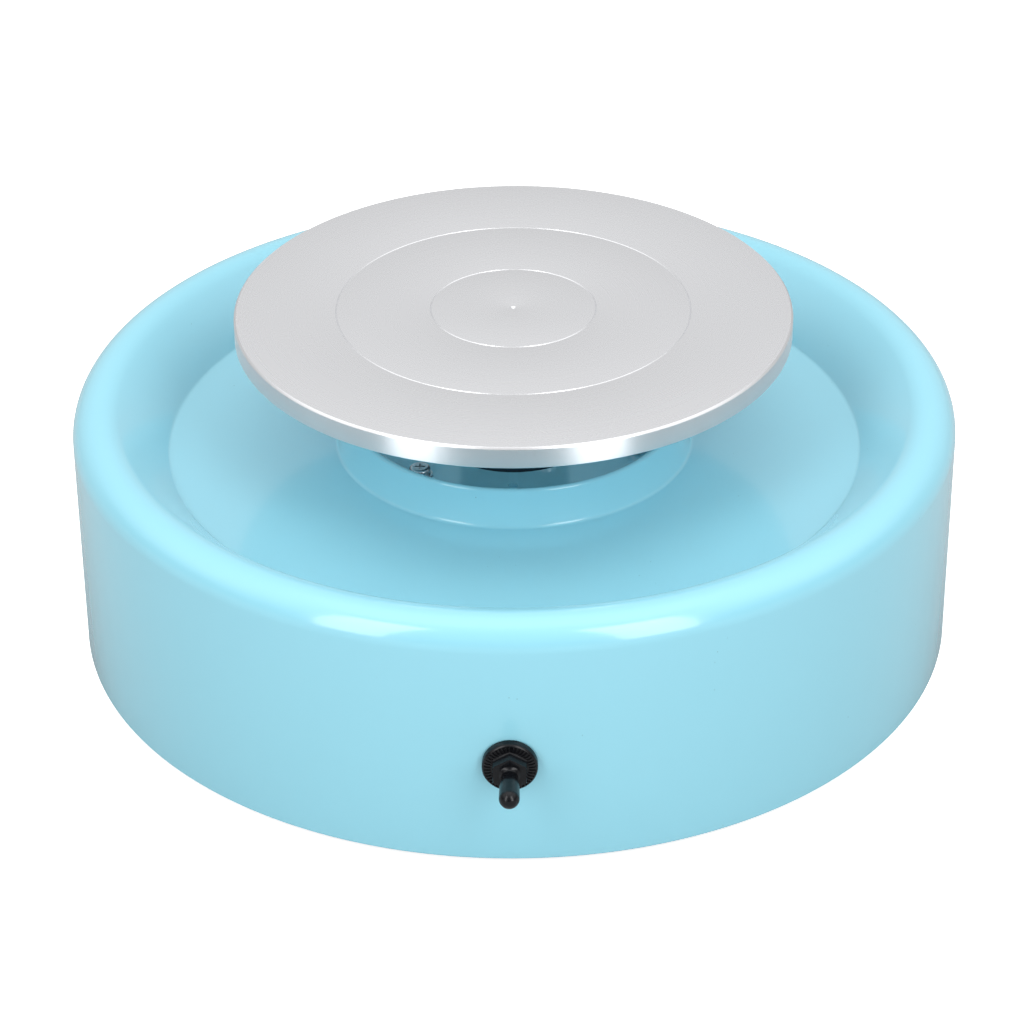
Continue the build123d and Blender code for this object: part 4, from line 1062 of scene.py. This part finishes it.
@dataclass
class WheelHead:
    """The turned disc, with its two grooves, its centre mark and the recess for the spindle."""

    segments: int = 512
    edge_mm: float = 0.55
    under_edge_mm: float = 0.3
    groove_radii_mm: tuple[float, ...] = (47.6, 22.2)
    groove_width_mm: float = 0.4
    groove_depth_mm: float = 0.25
    dot_mm: float = 0.8
    recess_mm: float = 6.1
    recess_depth_mm: float = 2.0

    def build(self) -> None:
        """Builds the disc and sets it on the wheel."""
        low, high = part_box("wheel_head")
        radius, top, under = high.x, high.z, low.z
        edge, soft = self.edge_mm * MM, 0.00006
        corners = [
            Corner(0, under + self.recess_depth_mm * MM),
            Corner(self.recess_mm * MM, under + self.recess_depth_mm * MM, 0.0002),
            Corner(self.recess_mm * MM, under, 0.0002),
            Corner(radius - self.under_edge_mm * MM, under, soft),
            Corner(radius, under + self.under_edge_mm * MM, soft),
            Corner(radius, top - edge, soft),
            Corner(radius - edge, top, soft),
        ]
        half = self.groove_width_mm * MM / 2
        for groove in self.groove_radii_mm:
            place = groove * MM
            corners += [
                Corner(place + half, top, 0.00003),
                Corner(place, top - self.groove_depth_mm * MM, 0.00004),
                Corner(place - half, top, 0.00003),
            ]
        corners += [Corner(self.dot_mm * MM, top, 0.0001), Corner(0, top - self.dot_mm * MM)]
        outline = rounded(corners, closed=False, steps=3)
        disc = Piece(
            "turned_wheel_head", turned(outline, self.segments, closed=False),
            FINISHES["turned_aluminium"], "turned_aluminium", ("wheel_head",),
        ).make()
        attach(disc, Body.WHEEL.value)


# ---- switch boot -------------------------------------------------------------------------------------


@dataclass
class SwitchBoot:
    """The rubber boot of the toggle switch: a serrated flange nut, a skirt and a sleeve."""

    flange_mm: float = 7.0
    flange_thick_mm: float = 2.4
    serrations: int = 40
    steps_each: int = 8
    tooth_out_mm: float = 6.45
    tooth_in_mm: float = 4.7
    tooth_mm: float = 0.4
    hex_across_mm: float = 8.5
    hex_out_mm: float = 5.5
    skirt_mm: float = 2.9
    neck_mm: float = 1.95
    skirt_end_mm: float = 6.5
    sleeve_mm: float = 2.6
    sleeve_full_mm: float = 10.6
    tip_mm: float = 1.2

    def __post_init__(self) -> None:
        """Reads the switch's axis and the lever's reach from the frame."""
        low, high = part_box("boot_nut")
        self.centre = Vector((0, high.y, (low.z + high.z) / 2))
        self.reach = high.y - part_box("boot_sleeve")[0].y + self.tip_mm * MM

    def hexagon(self, across: float, softness: float) -> Callable[[float], float]:
        """Radius of a hexagon with a corner up, its corners softened.

        Args:
            across: distance across its flats.
            softness: 0 for a true hexagon, 1 for its inner circle.

        Returns:
            Radius at an angle.
        """

        def radius(turn: float) -> float:
            """Radius at an angle."""
            off = (turn - math.pi / 2 + math.pi / 6) % (math.pi / 3) - math.pi / 6
            point = across / 2 / math.cos(math.pi / 6 - abs(off))
            return point + (across / 2 - point) * softness

        return radius

    def nut_mesh(self) -> bmesh.types.BMesh:
        """The flange with its radial serrations, and the hexagon in front of it."""
        segments = self.serrations * self.steps_each
        flange, thick = self.flange_mm * MM, self.flange_thick_mm * MM
        across = self.hex_across_mm * MM
        tooth = self.tooth_mm * MM

        def notched(radius: float, height: float, depth: float) -> list[tuple[float, float, float]]:
            """One ring of points whose height drops between the serrations."""
            ring = []
            for k in range(segments):
                turn = math.tau * k / segments
                wave = 0.5 - 0.5 * math.cos(turn * self.serrations)
                drop = depth * min(1.0, max(0.0, wave * 1.8 - 0.4))
                ring.append((radius * math.cos(turn), radius * math.sin(turn), height - drop))
            return ring

        def ruled(shape: Callable[[float], float], height: float) -> list[tuple[float, float, float]]:
            """One ring of points whose radius depends on the angle."""
            turns = (math.tau * k / segments for k in range(segments))
            return [(shape(t) * math.cos(t), shape(t) * math.sin(t), height) for t in turns]

        outer, inner = self.tooth_out_mm * MM, self.tooth_in_mm * MM
        end = self.hex_out_mm * MM
        bevel = 0.00035
        crown = thick + 0.0002
        rings = [
            notched(flange - 0.0002, 0.0, 0.0),
            notched(flange, 0.0002, 0.0),
            notched(flange, thick - 0.0005, 0.0),
            notched(flange - 0.00018, thick - 0.00018, 0.0),
            notched(outer + 0.00012, thick, 0.0),
            notched(outer, thick, 0.0),
            notched(outer - 0.00015, thick + 0.00005, tooth),
            notched((outer + inner) / 2, thick + 0.00012, tooth),
            notched(inner + 0.00015, thick + 0.00018, tooth),
            notched(inner, crown, 0.0),
            ruled(self.hexagon(across * 1.07, 0.25), crown),
            ruled(self.hexagon(across * 1.02, 0.12), crown + bevel * 0.6),
            ruled(self.hexagon(across, 0.08), crown + bevel),
            ruled(self.hexagon(across, 0.08), end - bevel),
            ruled(self.hexagon(across * 0.985, 0.12), end - bevel * 0.35),
            ruled(self.hexagon(across * 0.93, 0.35), end),
            ruled(lambda turn: self.skirt_mm * MM + 0.0002, end),
            ruled(lambda turn: self.skirt_mm * MM * 0.6, end - 0.0003),
        ]
        bm = bmesh.new()
        made = [[bm.verts.new(point) for point in ring] for ring in rings]
        skin(bm, made)
        for ring in (made[0], made[-1]):
            bm.faces.new(ring)
        bmesh.ops.recalc_face_normals(bm, faces=bm.faces)
        return facing_front(bm, self.centre)

    def skirt_mesh(self) -> bmesh.types.BMesh:
        """The thin cone between the nut and the sleeve, as a closed shell of its own."""
        overlap, wall, hollow = 0.0002, 0.00035, 2.2
        start, end = self.hex_out_mm * MM - overlap, self.skirt_end_mm * MM
        wide, neck = self.skirt_mm * MM, self.neck_mm * MM
        steps = 12
        outer = []
        for i in range(steps + 1):
            share = i / steps
            pull = (1 - share) ** hollow
            outer.append(Corner(neck + (wide - neck) * pull, start + (end - start) * share))
        inner = [Corner(c.across - wall, c.along) for c in reversed(outer)]
        return facing_front(turned(rounded([*outer, *inner], True), 72, closed=True), self.centre)

    def sleeve_mesh(self) -> bmesh.types.BMesh:
        """The sleeve over the lever: it swells from the neck and ends in a dome."""
        start, full = self.skirt_end_mm * MM - 0.0003, self.sleeve_full_mm * MM
        neck, wide = self.neck_mm * MM, self.sleeve_mm * MM
        dome = self.reach - wide
        corners = [Corner(0, start), Corner(neck - 0.0002, start)]
        steps = 10
        for i in range(steps + 1):
            share = i / steps
            smooth = share * share * (3 - 2 * share)
            corners.append(Corner(neck + (wide * 0.965 - neck) * smooth, start + (full - start) * share))
        corners += arc((0, dome), wide, 0, 90, 18)
        return facing_front(turned(rounded(corners, False), 96, closed=False), self.centre)

    def build(self) -> None:
        """Builds the nut, the skirt and the sleeve."""
        rubber = FINISHES["black_rubber"]
        nut = Piece("boot_flange_nut", self.nut_mesh(), rubber, "black_rubber", ("boot_nut",)).make()
        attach(nut, Body.BASE.value)
        sleeve = Piece(
            "boot_lever_sleeve", self.sleeve_mesh(), rubber, "black_rubber", ("boot_sleeve",),
        ).make()
        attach(sleeve, Body.TOGGLE.value)
        skirt = Piece("boot_skirt", self.skirt_mesh(), rubber, "black_rubber").make()
        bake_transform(skirt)


# ---- carried-over nodes ------------------------------------------------------------------------------


class CarriedNodes:
    """The CAD nodes that stay as they are, each in the finish of its record slot."""

    def dress(self) -> None:
        """Gives every node its finish."""
        slots = {part["node"]: part["material_slot"] for part in frame["record"]["subparts"]}
        for name, node in frame["nodes"].items():
            finish = FINISHES[slots[name]]
            node.data.materials.clear()
            node.data.materials.append(finish.material())
        log.info("%d carried-over nodes dressed", len(frame["nodes"]))


# ---- studio ------------------------------------------------------------------------------------------


@dataclass
class Softbox:
    """A soft rectangular light on a stand.

    Attributes:
        name: its name.
        azimuth: degrees round from the front, positive to the right.
        elevation: degrees above the table.
        distance: metres from the object.
        width: metres.
        height: metres.
        power: watts.
    """

    name: str
    azimuth: float
    elevation: float
    distance: float
    width: float
    height: float
    power: float

    def build(self, aim: Vector) -> None:
        """Makes the light and turns it to the object.

        Args:
            aim: the point that it faces.
        """
        data = bpy.data.lights.new(self.name, "AREA")
        data.shape = "RECTANGLE"
        data.size, data.size_y = self.width, self.height
        data.energy = self.power
        lamp = bpy.data.objects.new(self.name, data)
        turn, rise = math.radians(self.azimuth), math.radians(self.elevation)
        away = Vector((math.sin(turn) * math.cos(rise), -math.cos(turn) * math.cos(rise), math.sin(rise)))
        lamp.location = aim + away * self.distance
        lamp.rotation_mode = "QUATERNION"
        lamp.rotation_quaternion = away.to_track_quat("Z", "Y")
        bpy.context.scene.collection.objects.link(lamp)


@dataclass
class Studio:
    """A white table, a pale wall behind and a dim room in front, three softboxes and the camera.

    The table shows white, and throws back less light than that, as a sweep of paper does under it.
    """

    low_levels: tuple[float, float, float] = (0.10, 0.20, 0.66)
    high_levels: tuple[float, float, float] = (0.30, 1.45, 0.84)
    table_bounce: float = 0.50
    table_lift: float = 0.75
    table_m: float = 12.0
    camera_x: float = 0.0112
    camera_y: float = -0.82557
    camera_z: float = 0.53531
    pitch: float = 31.32
    yaw: float = -0.83
    roll: float = 0.42
    lens_mm: float = 122.13
    sensor_mm: float = 36.0
    softboxes: tuple[Softbox, ...] = (
        Softbox("left softbox", -38, 28, 1.6, 0.50, 1.55, 11),
        Softbox("right softbox", 34, 28, 1.6, 0.55, 1.55, 13),
        Softbox("overhead softbox", 0, 92, 1.5, 1.30, 1.3, 2),
    )

    def table(self) -> None:
        """A plain pale table top."""
        bm = bmesh.new()
        bmesh.ops.create_grid(bm, x_segments=8, y_segments=8, size=self.table_m / 2)
        data = bpy.data.meshes.new("table")
        bm.to_mesh(data)
        bm.free()
        top = bpy.data.objects.new("table", data)
        bpy.context.scene.collection.objects.link(top)
        material = bpy.data.materials.new("white table")
        material.use_nodes = True
        shader = material.node_tree.nodes["Principled BSDF"]
        shader.inputs["Roughness"].default_value = 0.6
        shader.inputs["Specular IOR Level"].default_value = 0.0
        graph = Graph(material.node_tree)
        seen = graph.node("LightPath").outputs["Is Camera Ray"]
        bounced = (self.table_bounce, self.table_bounce, self.table_bounce, 1)
        graph.feed(shader.inputs["Base Color"], graph.mix(seen, bounced, (0.96, 0.96, 0.96, 1)))
        shader.inputs["Emission Color"].default_value = (1, 1, 1, 1)
        graph.feed(shader.inputs["Emission Strength"], graph.maths("MULTIPLY", seen, self.table_lift))
        data.materials.append(material)
        top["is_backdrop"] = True

    def surroundings(self) -> None:
        """An even white world and the softboxes."""
        world = bpy.data.worlds.new("white studio")
        world.use_nodes = True
        graph = Graph(world.node_tree)
        split = graph.node("SeparateXYZ")
        graph.feed(split.inputs[0], graph.node("TexCoord").outputs["Generated"])
        bands = []
        for front, side, back in (self.low_levels, self.high_levels):
            ahead = graph.ramp(split.outputs["Y"], -0.7, -0.1, front, side)
            bands.append(graph.maths("ADD", ahead, graph.ramp(split.outputs["Y"], 0.1, 0.7, 0, back - side)))
        rise = graph.maths("SUBTRACT", bands[1], bands[0])
        climb = graph.maths("MULTIPLY", rise, graph.ramp(split.outputs["Z"], 0.2, 0.6, 0, 1))
        level = graph.maths("ADD", bands[0], climb)
        seen = graph.node("LightPath").outputs["Is Camera Ray"]
        shown = graph.maths("MAXIMUM", level, seen)
        graph.feed(world.node_tree.nodes["Background"].inputs["Strength"], shown)
        world.node_tree.nodes["Background"].inputs["Color"].default_value = (1, 1, 1, 1)
        bpy.context.scene.world = world
        low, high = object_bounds()
        for box in self.softboxes:
            box.build((low + high) / 2)

    def camera(self) -> None:
        """The camera, from above the front edge and a little to the right."""
        pitch, yaw, roll = (math.radians(a) for a in (self.pitch, self.yaw, self.roll))
        forward = Vector(
            (math.sin(yaw) * math.cos(pitch), math.cos(yaw) * math.cos(pitch), -math.sin(pitch))
        )
        level = Vector((math.cos(yaw), -math.sin(yaw), 0))
        up = level.cross(forward)
        across = level * math.cos(roll) - up * math.sin(roll)
        upright = up * math.cos(roll) + level * math.sin(roll)
        data = bpy.data.cameras.new("camera")
        data.lens = self.lens_mm
        data.sensor_width = self.sensor_mm
        data.dof.use_dof = False
        eye = bpy.data.objects.new("camera", data)
        turn = Matrix((across, upright, -forward)).transposed().to_4x4()
        eye.matrix_world = Matrix.Translation((self.camera_x, self.camera_y, self.camera_z)) @ turn
        bpy.context.scene.collection.objects.link(eye)
        bpy.context.scene.camera = eye

    def build(self) -> None:
        """Builds the whole studio."""
        self.table()
        self.surroundings()
        self.camera()
        bpy.context.scene.view_settings.view_transform = "Standard"
        bpy.context.scene.view_settings.look = "None"


def main() -> None:
    """Builds every piece in order, then the studio."""
    logging.basicConfig(level=logging.INFO, format="%(name)s %(message)s")
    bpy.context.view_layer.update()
    CarriedNodes().dress()
    Basin().build()
    WheelHead().build()
    SwitchBoot().build()
    Studio().build()


if __name__ == "__main__":
    main()
